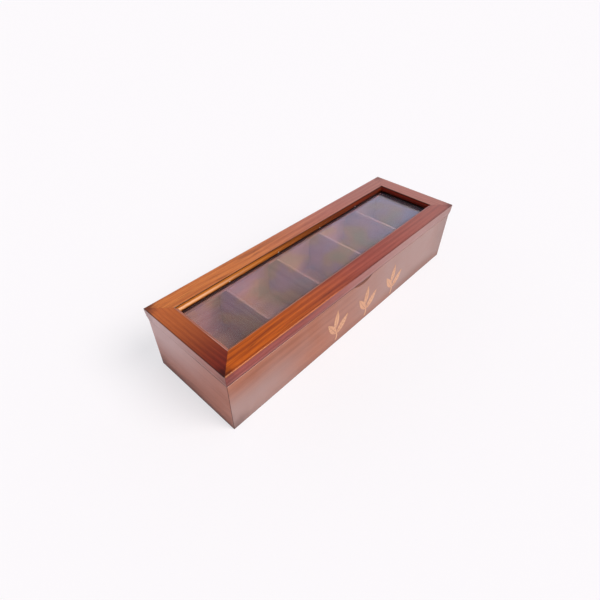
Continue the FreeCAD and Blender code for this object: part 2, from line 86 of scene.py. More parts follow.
class Value:
    """A number that varies over a surface: one socket, with the arithmetic of Math nodes."""

    def __init__(self, graph: "ShaderGraph", socket: bpy.types.NodeSocket) -> None:
        """Wrap a socket of a graph."""
        self.graph = graph
        self.socket = socket

    def __add__(self, other: "Value | float") -> "Value":
        """Sum."""
        return self.graph.math("ADD", self, other)

    def __radd__(self, other: float) -> "Value":
        """Sum, with the number first."""
        return self.graph.math("ADD", other, self)

    def __sub__(self, other: "Value | float") -> "Value":
        """Difference."""
        return self.graph.math("SUBTRACT", self, other)

    def __rsub__(self, other: float) -> "Value":
        """Difference, with the number first."""
        return self.graph.math("SUBTRACT", other, self)

    def __mul__(self, other: "Value | float") -> "Value":
        """Product."""
        return self.graph.math("MULTIPLY", self, other)

    def __rmul__(self, other: float) -> "Value":
        """Product, with the number first."""
        return self.graph.math("MULTIPLY", other, self)

    def __pow__(self, other: float) -> "Value":
        """Power."""
        return self.graph.math("POWER", self, other)

    def __abs__(self) -> "Value":
        """Size without its sign."""
        return self.graph.math("ABSOLUTE", self)

    def least(self, other: "Value | float") -> "Value":
        """The smaller of two."""
        return self.graph.math("MINIMUM", self, other)

    def most(self, other: "Value | float") -> "Value":
        """The larger of two."""
        return self.graph.math("MAXIMUM", self, other)

    def sine(self) -> "Value":
        """Sine of an angle in radians."""
        return self.graph.math("SINE", self)

    def centred(self) -> "Value":
        """A noise moved down, so that it lies around 0."""
        return self - NOISE_MIDDLE

    def rise(self, low: float, high: float) -> "Value":
        """Smooth step upwards.

        Args:
            low: Up to here it is 0.
            high: From here on it is 1.

        Returns:
            The step.
        """
        step = self.graph.node(
            "MapRange",
            {"interpolation_type": "SMOOTHSTEP"},
            {"Value": self, "From Min": low, "From Max": high},
        )
        return Value(self.graph, step.outputs["Result"])

    def fall(self, low: float, high: float) -> "Value":
        """1 up to low, 0 from high on, and a smooth step between."""
        return 1.0 - self.rise(low, high)


class ShaderGraph:
    """Node tree of one material or world, filled from Python expressions."""

    MIX_SHARE, MIX_FIRST, MIX_SECOND, MIX_RESULT = 0, 6, 7, 2

    def __init__(self, tree: bpy.types.NodeTree) -> None:
        """Empty a tree for new nodes.

        Args:
            tree: Tree of a material or world.
        """
        self.tree = tree
        self.tree.nodes.clear()
        self.coordinates: dict[str, bpy.types.NodeSocket] = {}

    @classmethod
    def of_material(cls, name: str) -> tuple[bpy.types.Material, "ShaderGraph"]:
        """New material and its graph.

        Args:
            name: Name of the material.

        Returns:
            The material, and the graph of its nodes, which is empty.
        """
        material = bpy.data.materials.new(name)
        material.use_nodes = True
        return material, cls(material.node_tree)

    def node(
        self,
        kind: str,
        settings: dict[str, object] | None = None,
        inputs: dict[str | int, object] | None = None,
    ) -> bpy.types.Node:
        """Add a node of any kind.

        Args:
            kind: Type of the node, without its ShaderNode prefix.
            settings: Properties, which are set first; stops fills a colour ramp.
            inputs: Values or links of the sockets, by name or number.

        Returns:
            The new node.
        """
        made = self.tree.nodes.new("ShaderNode" + kind)
        for name, setting in (settings or {}).items():
            if name == "stops":
                self.fill_ramp(made.color_ramp, setting)
            else:
                setattr(made, name, setting)
        for name, given in (inputs or {}).items():
            source = given.socket if isinstance(given, Value) else given
            if isinstance(source, bpy.types.NodeSocket):
                self.tree.links.new(source, made.inputs[name])
            else:
                made.inputs[name].default_value = source
        return made

    @staticmethod
    def fill_ramp(ramp: bpy.types.ColorRamp, stops: Stops) -> None:
        """Give a colour ramp its stops.

        Args:
            ramp: Ramp with the two stops that a new node has.
            stops: Place and colour of each stop, in rising order.
        """
        ramp.elements[0].position, ramp.elements[0].color = stops[0]
        ramp.elements[1].position, ramp.elements[1].color = stops[-1]
        for place, colour in stops[1:-1]:
            ramp.elements.new(place).color = colour

    def math(self, operation: str, *terms: "Value | float") -> Value:
        """Math node of one operation on its terms."""
        made = self.node("Math", {"operation": operation}, dict(enumerate(terms)))
        return Value(self, made.outputs[0])

    def position(self) -> tuple[Value, Value, Value]:
        """Object coordinates in metres.

        Returns:
            X, Y and Z.
        """
        if not self.coordinates:
            spot = self.node("TexCoord").outputs["Object"]
            parts = self.node("SeparateXYZ", None, {"Vector": spot})
            self.coordinates = {axis: parts.outputs[axis] for axis in "XYZ"}
        return tuple(Value(self, self.coordinates[axis]) for axis in "XYZ")

    def noise(
        self, spot: tuple[Value | float, ...], detail: float = 2.0, roughness: float = 0.5
    ) -> Value:
        """Cloudy noise, about 0.2 to 0.8.

        Args:
            spot: Three numbers or values, in noise cells.
            detail: Octaves of the noise.
            roughness: Strength of the finer octaves.

        Returns:
            The noise at that spot.
        """
        point = self.node("CombineXYZ", None, dict(enumerate(spot)))
        cloud = self.node(
            "TexNoise",
            None,
            {"Vector": point.outputs[0], "Scale": 1.0, "Detail": detail, "Roughness": roughness},
        )
        return Value(self, cloud.outputs[0])

    def cloud(self, cells: Cells, detail: float = 2.0, shift: float = 0.0) -> Value:
        """Noise over the object, with its own number of cells along each axis.

        Args:
            cells: Cells a metre along X, Y and Z.
            detail: Octaves of the noise.
            shift: Move along X, in cells.

        Returns:
            The noise, about 0.2 to 0.8.
        """
        x, y, z = (part * count for part, count in zip(self.position(), cells))
        return self.noise((x + shift, y, z), detail)

    def ramp(self, share: Value, stops: Stops) -> bpy.types.NodeSocket:
        """Colour that a ramp gives at a share."""
        return self.node("ValToRGB", {"stops": stops}, {"Fac": share}).outputs["Color"]

    def mix(
        self, share: Value | float, first: object, second: object, blend: str = "MIX"
    ) -> bpy.types.NodeSocket:
        """Mix two colours.

        Args:
            share: How much of the second shows, 0 to 1.
            first: Colour or socket.
            second: Colour or socket.
            blend: Blend type of the Mix node.

        Returns:
            Socket of the mixed colour.
        """
        made = self.node(
            "Mix",
            {"data_type": "RGBA", "blend_type": blend},
            {self.MIX_SHARE: share, self.MIX_FIRST: first, self.MIX_SECOND: second},
        )
        return made.outputs[self.MIX_RESULT]

    def cover(self, share: Value | float, colour: object, code: str) -> bpy.types.NodeSocket:
        """Colour under a share of another, which a hex code gives."""
        return self.mix(share, colour, srgb(code))

    def tone(self, share: Value | float, colour: object, code: str) -> bpy.types.NodeSocket:
        """Colour multiplied by a share of another, as a thin stain does."""
        return self.mix(share, colour, srgb(code), "MULTIPLY")

    def turning_stain(
        self, figure: Value, shift: Value, near: Stops, far: Stops
    ) -> bpy.types.NodeSocket:
        """Colour of a figure under a stain that turns into another.

        Args:
            figure: Figure of the wood, 0 to 1.
            shift: How far the stain has turned, 0 to 1.
            near: Stops of the stain where shift is 0.
            far: Stops of the stain where shift is 1.

        Returns:
            Socket of the colour.
        """
        return self.mix(shift, self.ramp(figure, near), self.ramp(figure, far))

    def bump(self, height: Value, depth: float, strength: float) -> bpy.types.NodeSocket:
        """Normal of a fine relief.

        Args:
            height: Height of the relief, as a share of its depth.
            depth: Depth of the relief, in metres.
            strength: How much of it shows, 0 to 1.

        Returns:
            Socket of the normal.
        """
        made = self.node(
            "Bump", None, {"Height": height, "Distance": depth, "Strength": strength}
        )
        return made.outputs["Normal"]

    def surface(self, inputs: dict[str | int, object]) -> bpy.types.Node:
        """Principled shader with its sockets set."""
        return self.node("BsdfPrincipled", None, inputs)

    def blend(
        self, share: Value | bpy.types.NodeSocket, first: bpy.types.Node, second: bpy.types.Node
    ) -> bpy.types.Node:
        """Mix two shaders.

        Args:
            share: How much of the second shows, 0 to 1.
            first: Shader.
            second: Shader.

        Returns:
            The mixed shader.
        """
        inputs = {0: share, 1: first.outputs[0], 2: second.outputs[0]}
        return self.node("MixShader", None, inputs)

    def finish(self, shader: bpy.types.Node) -> None:
        """Send a shader to the output."""
        self.node("OutputMaterial", None, {"Surface": shader.outputs[0]})

    def finish_surface(self, inputs: dict[str | int, object]) -> None:
        """Send a Principled shader with its sockets set to the output."""
        self.finish(self.surface(inputs))


# Finishes


Place = tuple[Value, Value, Value]

FIGURE_LEVELS = (0.36, 0.5, 0.63)
MITRE_BLEND = 0.1 * MM
# Tone of the painted reflection on the ends of the box and of the lid.
WARM_REFLECTION = "#c4a4a0"


def moved(span: Span, step: float) -> Span:
    """Span moved by a step."""
    return span[0] + step, span[1] + step


def scaled(span: Span, factor: float) -> Span:
    """Span times a factor."""
    return span[0] * factor, span[1] * factor


class Grain(Enum):
    """Which object axes run along the fibres, across the board and through it."""

    LENGTHWISE = (0, 1, 2)
    CROSSWISE = (1, 0, 2)

    def turned(self, place: Place) -> Place:
        """Place along the fibres, across the board and through it."""
        return tuple(place[axis] for axis in self.value)


@dataclass(frozen=True)
class Streaks:
    """A noise drawn out along the fibres: cells a metre, octaves, and a shift in cells."""

    cells_along: float
    cells_across: float
    detail: float
    roughness: float = 0.5
    shift: float = 0.0

    def on(self, graph: ShaderGraph, board: Place) -> Value:
        """Work the noise out on a board.

        Args:
            graph: Graph of the material.
            board: Place along, across and through the board.

        Returns:
            The noise, about 0.2 to 0.8.
        """
        along, across, through = board
        spot = (
            along * self.cells_along + self.shift,
            across * self.cells_across,
            through * self.cells_across,
        )
        return graph.noise(spot, self.detail, self.roughness)


@dataclass(frozen=True)
class Stain:
    """Colours of a stain: where it took least, between, and in the dark streaks."""

    light: str
    middle: str
    dark: str

    def stops(self) -> Stops:
        """Stops of the ramp that colours the figure."""
        codes = (self.dark, self.middle, self.light)
        return [(level, srgb(code)) for level, code in zip(FIGURE_LEVELS, codes)]


@dataclass(frozen=True)
class Shades:
    """Masks of tone and painted light, each 0 to 1.

    side marks the faces that took the stain another way, pale the painted reflection and a
    painted highlight, dark the darkening and painted shade, painted_highlight the painted
    highlight on the arrises, and line the joints and the painted shade in seams and deep
    corners.
    """

    side: Value
    pale: Value
    dark: Value
    painted_highlight: Value
    line: Value


@dataclass(frozen=True)
class Spot:
    """Where a point lies within an outline around the middle.

    out_x and out_y are its distances inwards from the ends and from the long sides. ends
    is 1 on the boards that run crosswise and 0 on the others, split at the mitres.
    """

    x: Value
    y: Value
    z: Value
    out_x: Value
    out_y: Value
    ends: Value

    @classmethod
    def within(cls, graph: ShaderGraph, half_length: float, half_depth: float) -> "Spot":
        """Spot of the point that is shaded.

        Args:
            graph: Graph of the material.
            half_length: Half the outline's length.
            half_depth: Half the outline's depth.

        Returns:
            The spot.
        """
        x, y, z = graph.position()
        out_x = half_length - abs(x)
        out_y = half_depth - abs(y)
        return cls(x, y, z, out_x, out_y, (out_y - out_x).rise(-MITRE_BLEND, MITRE_BLEND))


@dataclass(frozen=True)
class LidZones:
    """Parts of the lid frame, each 0 to 1, and two distances.

    below is the depth under the top face and inner the distance outwards from the
    window. side is the outer faces and lining the faces under the pane's seat.
    """

    below: Value
    inner: Value
    front: Value
    rear: Value
    near_top: Value
    side: Value
    lining: Value
    front_rim: Value
    window_rim: Value


@dataclass(frozen=True)
class LidToneAndLight:
    """Tone and painted light on the lid frame: darker corners, a painted highlight on the
    arrises, painted reflection on the outer faces and painted shade, black, inside the window.

    Each pair of numbers is where a smooth step starts and ends: down from the top face
    where its name starts with below, inwards from an edge or outwards from the window
    where it starts with in, out from a corner or mitre where it starts with from, and
    along X or Y where it ends with that letter. The single numbers are strengths.
    """

    half_length: float
    half_depth: float
    window_half_length: float
    window_half_depth: float
    top: float
    corner_cells: Cells = (180.0, 180.0, 180.0)
    corner_wander: float = 12 * MM
    from_corner: Span = (3.2 * MM, 16 * MM)
    from_mitre: Span = (0.064 * MM, 0.16 * MM)
    below_top: Span = (0.3 * MM, 1.3 * MM)
    below_arris: Span = (0.4 * MM, 0.9 * MM)
    below_seam: Span = (0.1 * MM, 0.4 * MM)
    below_pane: Span = (7.2 * MM, 7.6 * MM)
    below_stripe: Span = (9.6 * MM, 10 * MM)
    below_stripe_end: Span = (10.6 * MM, 11 * MM)
    below_black_end: Span = (10.7 * MM, 11.2 * MM)
    below_foot: Span = (12.7 * MM, 13.6 * MM)
    in_side: Span = (1.2 * MM, 1.7 * MM)
    in_front_rim: Span = (0.3 * MM, 1.2 * MM)
    in_window_rim: Span = (0.3 * MM, 1.0 * MM)
    in_seam: Span = (0.05 * MM, 0.3 * MM)
    in_rear_seam: Span = (0.2 * MM, 0.5 * MM)
    in_end_edge: Span = (0.3 * MM, 1.5 * MM)
    in_rear_edge: Span = (0.2 * MM, 1.2 * MM)
    in_end_black: Span = (3.4 * MM, 3.6 * MM)
    front_y: Span = (-20 * MM, 0.0)
    rear_y: Span = (0.0, 20 * MM)
    foot_line_x: Span = (-60 * MM, 120 * MM)
    left_highlight_x: Span = (-168 * MM, -160 * MM)
    front_highlight_y: Span = (-30 * MM, 10 * MM)
    rim_highlight_x: Span = (-80 * MM, -20 * MM)
    rim_line_x: Span = (-50 * MM, 0.0)
    side_reflection_x: Span = (-120 * MM, 110 * MM)
    side_reflection_y: Span = (-60 * MM, 50 * MM)
    top_reflection_x: Span = (10 * MM, 170 * MM)
    right_corner_fade_x: Span = (120 * MM, 170 * MM)
    side_darkening_x: Span = (110 * MM, 170 * MM)
    top_reflection: float = 0.25
    lining_reflection: float = 0.6
    arris_highlight: float = 0.6
    corner_darkening: float = 0.75
    corner_darkening_aside: float = 0.3
    right_corner_fade: float = 0.35
    side_darkening: float = 0.12
    front_highlight: float = 0.35
    window_highlight: float = 0.6
    mitre_line: float = 0.7
    rear_seam_line: float = 0.8
    stripe_gap: float = 0.45
    front_rim_line: float = 0.8
    edge_line: float = 0.7
    foot_line: float = 0.85
    foot_line_right: float = 0.3

    def zones(self, at: Spot) -> LidZones:
        """Parts of the frame at a spot.

        Args:
            at: Spot within the frame's outline.

        Returns:
            The zones.
        """
        below = self.top - at.z
        rail_x = self.half_length - self.window_half_length
        rail_y = self.half_depth - self.window_half_depth
        inner = (rail_x - at.out_x).most(rail_y - at.out_y)
        front = at.y.fall(*self.front_y)
        return LidZones(
            below=below,
            inner=inner,
            front=front,
            rear=at.y.rise(*self.rear_y),
            near_top=below.fall(*self.below_top),
            side=at.out_x.least(at.out_y).fall(*self.in_side) * below.rise(*self.below_arris),
            lining=inner.fall(*self.in_seam) * below.rise(*self.below_pane),
            front_rim=at.out_y.fall(*self.in_front_rim) * front,
            window_rim=inner.fall(*self.in_window_rim),
        )

    def reflection_veil(self, at: Spot, zones: LidZones) -> Value:
        """Painted reflection, pale on the outer faces, the top's right and the lining, and a painted
        highlight on the inner arris.

        Args:
            at: Spot within the frame's outline.
            zones: Its zones.

        Returns:
            The mask.
        """
        # Painted reflection on the outer faces and, fainter, on the top's right.
        lengthwise = at.x.rise(*self.side_reflection_x) * (1.0 - at.ends)
        on_side = lengthwise + at.y.rise(*self.side_reflection_y) * at.ends
        on_top = at.x.rise(*self.top_reflection_x) * self.top_reflection
        pale = on_side * zones.side + (1.0 - zones.side) * on_top
        # Painted highlight on the inner arris at the front.
        arris = zones.window_rim * zones.near_top * zones.front
        return pale.most(zones.lining * self.lining_reflection).most(arris * self.arris_highlight)

    def shade_and_darkening(self, graph: ShaderGraph, at: Spot, zones: LidZones) -> Value:
        """Darker, cloudy round the outer corners, and faintly on the sides towards the right.

        Args:
            graph: Graph of the material.
            at: Spot within the frame's outline.
            zones: Its zones.

        Returns:
            The mask.
        """
        corner = (at.out_x * at.out_x + at.out_y * at.out_y) ** 0.5
        wander = graph.cloud(self.corner_cells, 3.0).centred() * self.corner_wander
        dark = (corner + wander).fall(*self.from_corner)
        dark = dark * (1.0 - at.x.rise(*self.right_corner_fade_x) * self.right_corner_fade)
        less_aside = zones.side * (self.corner_darkening - self.corner_darkening_aside)
        on_side = zones.side * at.x.rise(*self.side_darkening_x) * self.side_darkening
        return (dark * (self.corner_darkening - less_aside)).most(on_side)

    def wear(self, at: Spot, zones: LidZones) -> Value:
        """Painted highlight on the arrises: round the left of the window and along the front's outer
        edge.

        Args:
            at: Spot within the frame's outline.
            zones: Its zones.

        Returns:
            The mask.
        """
        # Painted highlight on the inner arris, at the front and the left, and on the front's outer
        # arris towards the left.
        front = at.y.fall(*self.front_highlight_y) * self.front_highlight
        left = at.x.fall(*self.left_highlight_x)
        worn = zones.window_rim * front.most(left) * self.window_highlight
        return worn.most(zones.front_rim * at.x.fall(*self.rim_highlight_x)) * zones.near_top

    def lines(self, at: Spot, zones: LidZones) -> Value:
        """Dark lines: the mitres; painted shade, black, in the seam round the window and beside
        the rear bead, and along the foot; and darker outer edges.

        Round the window the painted shade ends about 11 mm below the top, and at the lid's
        ends it goes on down, paler over a stripe.

        Args:
            at: Spot within the frame's outline.
            zones: Its zones.

        Returns:
            The mask.
        """
        below, inner = zones.below, zones.inner
        mitre = abs(at.out_x - at.out_y).fall(*self.from_mitre) * self.mitre_line
        # Painted shade, black, in the seam round the window and beside the rear bead.
        seam = inner.fall(*self.in_seam) * below.rise(*self.below_seam)
        rear_seam = inner.fall(*self.in_rear_seam) * zones.rear * self.rear_seam_line
        rail = self.half_length - self.window_half_length
        stripe = below.fall(*self.below_stripe_end) * below.rise(*self.below_stripe)
        end_black = at.out_x.fall(*moved(self.in_end_black, rail))
        end_black = end_black * (1.0 - stripe * self.stripe_gap)
        seam = seam.most(rear_seam) * below.fall(*self.below_black_end).most(end_black)
        edge = at.out_x.fall(*self.in_end_edge)
        edge = edge.most(at.out_y.fall(*self.in_rear_edge) * zones.rear)
        edge = edge.most(zones.front_rim * at.x.rise(*self.rim_line_x) * self.front_rim_line)
        edge = edge * zones.near_top * self.edge_line
        # Painted shade along the foot of the outer faces at the front.
        left = at.x.fall(*self.foot_line_x) * (1.0 - self.foot_line_right)
        foot = below.rise(*self.below_foot) * zones.side * zones.front
        foot = foot * (left + self.foot_line_right) * self.foot_line
        return mitre.most(seam).most(edge).most(foot)

    def shades(self, graph: ShaderGraph) -> Shades:
        """Masks by the distance from the frame's outer edge, window and mitres.

        Args:
            graph: Graph of the material.

        Returns:
            The masks.
        """
        at = Spot.within(graph, self.half_length, self.half_depth)
        zones = self.zones(at)
        return Shades(
            side=zones.side.most(zones.lining),
            pale=self.reflection_veil(at, zones),
            dark=self.shade_and_darkening(graph, at, zones),
            painted_highlight=self.wear(at, zones),
            line=self.lines(at, zones),
        )


@dataclass(frozen=True)
class WallToneAndLight:
    """Tone and painted light on the box walls: painted shade along the lower edge, darker up
    the upright corners, painted reflection, and a painted highlight on the rim.

    Each pair of numbers is where a smooth step starts and ends: inwards from an edge or
    from the outer face where its name starts with in, but from the inner face in in_wall,
    down from the rim in below_rim, along the axis that its name ends with, or up the
    wall, as shares of its height, where it ends with shares. The single numbers are
    strengths, but for the sizes of the box and the wander, which are distances.
    """

    half_length: float
    half_depth: float
    height: float
    wall: float = 7 * MM
    wander: float = 30 * MM
    cloud_cells: Cells = (34.0, 34.0, 34.0)
    in_wall: Span = (-0.9 * MM, -0.2 * MM)
    in_corner: Span = (10 * MM, 60 * MM)
    in_near_corner: Span = (2 * MM, 26 * MM)
    in_upright: Span = (0.0, 16 * MM)
    in_upright_edge: Span = (0.3 * MM, 0.5 * MM)
    in_rim: Span = (0.2 * MM, 1.2 * MM)
    below_rim: Span = (0.3 * MM, 1.1 * MM)
    foot_z: Span = (-4 * MM, 15 * MM)
    foot_line_z: Span = (0.4 * MM, 1.2 * MM)
    near_corner_x: Span = (-95 * MM, 0.0)
    near_corner_z: Span = (0.0, 26 * MM)
    rear_y: Span = (25 * MM, 60 * MM)
    reflection_x: Span = (-110 * MM, 100 * MM)
    reflection_y: Span = (-60 * MM, 50 * MM)
    left_reflection_x: Span = (-170 * MM, -50 * MM)
    left_reflection_z: Span = (25 * MM, 62 * MM)
    right_x: Span = (-60 * MM, 0.0)
    right_z: Span = (0.0, 18 * MM)
    end_z: Span = (0.0, 45 * MM)
    end_upper_shares: Span = (0.4, 1.0)
    end_rim_shares: Span = (0.6, 1.0)
    rim_x: Span = (-190 * MM, 38 * MM)
    far_end_x: Span = (148 * MM, 190 * MM)
    right_foot_x: Span = (20 * MM, 120 * MM)
    right_foot_z: Span = (4 * MM, 24 * MM)
    long_reflection: float = 0.95
    cloudiness: float = 0.5
    right_fade: float = 0.6
    end_lower_reflection: float = 0.6
    end_rim_reflection: float = 0.1
    most_reflection: float = 0.9
    foot_wander: float = 0.6
    foot_rear_fade: float = 0.65
    foot_corner: float = 0.3
    least_foot: float = 0.14
    most_foot: float = 0.9
    near_corner_shade: float = 0.55
    far_end_darkening: float = 0.25
    right_foot_shade: float = 0.32
    upright_lean: float = 0.35
    upright_darkening: float = 0.45
    upright_rear_fade: float = 0.3
    right_rim_highlight: float = 0.4
    foot_line: float = 0.7

    def reflection_veil(self, at: Spot, cloud: Value) -> Value:
        """Painted reflection, pale: high and to the rear on the ends, at both ends of the long walls.

        Args:
            at: Spot within the walls' outline.
            cloud: Noise around 0.

        Returns:
            The mask.
        """
        left = at.x.fall(*self.left_reflection_x) * at.z.fall(*self.left_reflection_z)
        along = at.x.rise(*self.reflection_x).most(left) * self.long_reflection + cloud * self.cloudiness
        low_right = at.x.rise(*self.right_x) * at.z.fall(*self.right_z)
        along = along * (1.0 - low_right * self.right_fade)
        upper = at.z.rise(*scaled(self.end_upper_shares, self.height))
        upper = upper * (1.0 - self.end_lower_reflection) + self.end_lower_reflection
        rim = at.z.rise(*scaled(self.end_rim_shares, self.height)) * self.end_rim_reflection
        end = upper * at.y.rise(*self.reflection_y) * at.z.rise(*self.end_z)
        end = (end + rim).least(self.most_reflection)
        return (end * at.ends + along * (1.0 - at.ends)).most(0.0)

    def shade_and_darkening(self, at: Spot, wander: Value) -> Value:
        """Painted shade along the foot, low round the near corner and at the right foot; darker
        up the upright corners and at the far right end.

        Args:
            at: Spot within the walls' outline.
            wander: Cloudy distance that loosens the edges of the darkening.

        Returns:
            The mask.
        """
        corner = at.out_x.most(at.out_y)
        rear = at.y.rise(*self.rear_y)
        reach = at.ends * (1.0 - rear * self.foot_rear_fade)
        reach = reach + corner.fall(*self.in_corner) * self.foot_corner
        reach = reach.most(self.least_foot).least(self.most_foot)
        # Painted shade along the foot, low round the near corner and at the right foot; the upright
        # corners are darker too.
        foot = (at.z + wander * self.foot_wander).fall(*self.foot_z) * reach
        near = (corner + wander).fall(*self.in_near_corner)
        near = near * (at.z + wander).fall(*self.near_corner_z) * at.x.fall(*self.near_corner_x)
        far = at.x.rise(*self.far_end_x) * self.far_end_darkening
        right = at.x.rise(*self.right_foot_x) * at.z.fall(*self.right_foot_z)
        long_wall = far.most(right * self.right_foot_shade) * (1.0 - at.ends)
        upright = (corner + wander + at.z * self.upright_lean).fall(*self.in_upright)
        upright = upright * (self.upright_darkening - rear * self.upright_rear_fade)
        return foot.most(near * self.near_corner_shade).most(long_wall).most(upright)

    def shades(self, graph: ShaderGraph) -> Shades:
        """Masks by the distance from the upright corners and from both rims.

        Args:
            graph: Graph of the material.

        Returns:
            The masks.
        """
        at = Spot.within(graph, self.half_length, self.half_depth)
        depth = at.out_x.least(at.out_y)
        cloud = graph.cloud(self.cloud_cells).centred()
        inside = depth.rise(*moved(self.in_wall, self.wall))
        # Painted highlight along the rim of the long walls, strongest at the left.
        rim = (self.height - at.z).fall(*self.below_rim) * depth.fall(*self.in_rim)
        left = at.x.fall(*self.rim_x) * (1.0 - self.right_rim_highlight)
        rim = rim * (left + self.right_rim_highlight)
        # Darker upright edges, and painted shade along the foot where the walls meet the floor.
        upright_edge = at.out_x.most(at.out_y).fall(*self.in_upright_edge)
        return Shades(
            side=inside,
            pale=self.reflection_veil(at, cloud) * (1.0 - inside),
            dark=self.shade_and_darkening(at, cloud * self.wander),
            painted_highlight=rim * (1.0 - at.ends),
            line=upright_edge.most(at.z.fall(*self.foot_line_z) * self.foot_line),
        )


@dataclass(frozen=True)
class LacqueredWood:
    """Fine long grain under a reddish stain and a satin lacquer.

    The stain turns from stain to far_stain along the fibres, over the stretch in turn.
    The pairs of levels are where a noise starts to show and where it shows in full.
    """

    name: str
    grain: Grain
    seed: float
    stain: Stain
    far_stain: Stain
    side_stain: Stain
    turn: Span
    tone_and_light: LidToneAndLight | WallToneAndLight
    sheen: float = 0.36
    lacquer: float = 0.3
    lacquer_sheen: float = 0.3
    gloss_index: float = 1.3
    relief: float = 0.03 * MM
    relief_share: float = 0.5
    streaks: Streaks = Streaks(6.0, 230.0, 5.0, 0.7)
    streak_share: float = 0.72
    fibres: Streaks = Streaks(45.0, 1500.0, 3.0, 0.6)
    fibre_levels: Span = (0.35, 0.65)
    fibre_share: float = 0.2
    fibre_height: float = 0.5
    pores: Streaks = Streaks(130.0, 3300.0, 1.0)
    pore_levels: Span = (0.6, 0.72)
    pores_to_fibres: float = 1.5
    sway: Streaks = Streaks(6.0, 9.0, 1.0)
    sway_across: float = 12 * MM
    sway_through: float = 6 * MM
    pith_across: float = 11 * MM
    pith_depth: float = 20 * MM
    figure_pitch: float = 4.2 * MM
    drift: Streaks = Streaks(3.5, 30.0, 2.0)
    ring_drift: float = 14.0
    ring_contrast: float = 0.25
    vein: float = 0.0
    vein_fade: float = 0.7
    vein_fibre_levels: Span = (0.2, 0.55)
    broad_veins: Streaks = Streaks(4.0, 190.0, 2.0, 0.5, 9.0)
    broad_vein: Span = (0.002, 0.022)
    fine_veins: Streaks = Streaks(5.0, 430.0, 2.0, 0.5, 4.0)
    fine_vein: Span = (0.0, 0.02)
    fine_vein_share: float = 0.7
    mottle_cells: Cells = (40.0, 40.0, 40.0)
    mottle_roughness: float = 0.16
    pore_roughness: float = 0.1
    highlight_share: float = 0.7
    line_share: float = 0.85
    vein_tone: str = "#4a1a0a"
    fibre_tone: str = "#8a5638"
    pore_tone: str = "#6a3424"
    # Tones of the painted reflection, the darkening and painted shade, the painted highlight, and the
    # dark joints with painted shade in the seams.
    reflection_veil: str = WARM_REFLECTION
    shade_and_darkening: str = "#6b3d30"
    highlight_tone: str = "#dd9a68"
    joint_and_shade: str = "#1c0a06"

    def board(self, graph: ShaderGraph) -> Place:
        """Place on the board, moved along by the seed, with the fibres' slow wander.

        Args:
            graph: Graph of the material.

        Returns:
            Place along, across and through the board.
        """
        along, across, through = self.grain.turned(graph.position())
        start = along + self.seed
        sway = self.sway.on(graph, (start, across, through)).centred()
        return start, across + sway * self.sway_across, through + sway * self.sway_through

    def figure(self, graph: ShaderGraph) -> tuple[Value, Value, Value, Value]:
        """Figure of the wood, its fibres, its pores and its dark veins.

        The figure mixes soft streaks, a noise drawn out along the fibres, with growth
        rings, a sine of the distance from a pith line below the board. A vein is a line
        on which a second drawn-out noise is one half.

        Args:
            graph: Graph of the material.

        Returns:
            Figure, fibres, pores and veins, each 0 to 1.
        """
        board = self.board(graph)
        pith_across = board[1] - self.pith_across
        pith_depth = board[2] - self.pith_depth
        radius = (pith_across * pith_across + pith_depth * pith_depth) ** 0.5
        phase = radius * (2 * math.pi / self.figure_pitch)
        rings = (phase + self.drift.on(graph, board) * self.ring_drift).sine()
        rings = rings * self.ring_contrast + NOISE_MIDDLE
        figure = self.streaks.on(graph, board) * self.streak_share
        figure = figure + rings * (1.0 - self.streak_share)
        fibre = self.fibres.on(graph, board)
        pore = self.pores.on(graph, board).rise(*self.pore_levels)
        broad = abs(self.broad_veins.on(graph, board).centred()).fall(*self.broad_vein)
        fine = abs(self.fine_veins.on(graph, board).centred()).fall(*self.fine_vein)
        veins = broad.most(fine * self.fine_vein_share) * fibre.rise(*self.vein_fibre_levels)
        return figure, fibre, pore, veins

    def material(self) -> bpy.types.Material:
        """Build the material: figure, darkening and painted light, then lacquer.

        Returns:
            The material.
        """
        material, graph = ShaderGraph.of_material(self.name)
        figure, fibre, pore, veins = self.figure(graph)
        shades = self.tone_and_light.shades(graph)
        along = self.grain.turned(graph.position())[0]
        shift = along.rise(*self.turn)
        colour = graph.turning_stain(figure, shift, self.stain.stops(), self.far_stain.stops())
        colour = graph.mix(shades.side, colour, graph.ramp(figure, self.side_stain.stops()))
        veining = veins * (1.0 - shift * self.vein_fade) * self.vein
        colour = graph.cover(veining, colour, self.vein_tone)
        fibres = fibre.rise(*self.fibre_levels) * self.fibre_share
        colour = graph.tone(fibres, colour, self.fibre_tone)
        pores = pore * (self.pores_to_fibres * self.fibre_share)
        colour = graph.tone(pores, colour, self.pore_tone)
        # Painted reflection and highlight, pale; darkening and painted shade; painted highlight on the
        # arrises; dark joints and painted shade in the seams and at the foot.
        colour = graph.cover(shades.pale, colour, self.reflection_veil)
        colour = graph.tone(shades.dark, colour, self.shade_and_darkening)
        colour = graph.cover(shades.painted_highlight * self.highlight_share, colour, self.highlight_tone)
        colour = graph.cover(shades.line * self.line_share, colour, self.joint_and_shade)
        mottle = graph.cloud(self.mottle_cells).centred() * self.mottle_roughness
        height = fibre * self.fibre_height - pore
        graph.finish_surface(
            {
                "Base Color": colour,
                "Roughness": self.sheen + mottle + pore * self.pore_roughness,
                "Normal": graph.bump(height, self.relief, self.relief_share),
                "IOR": self.gloss_index,
                "Coat Weight": (1.0 - shades.side) * self.lacquer,
                "Coat Roughness": self.lacquer_sheen,
            }
        )
        return material


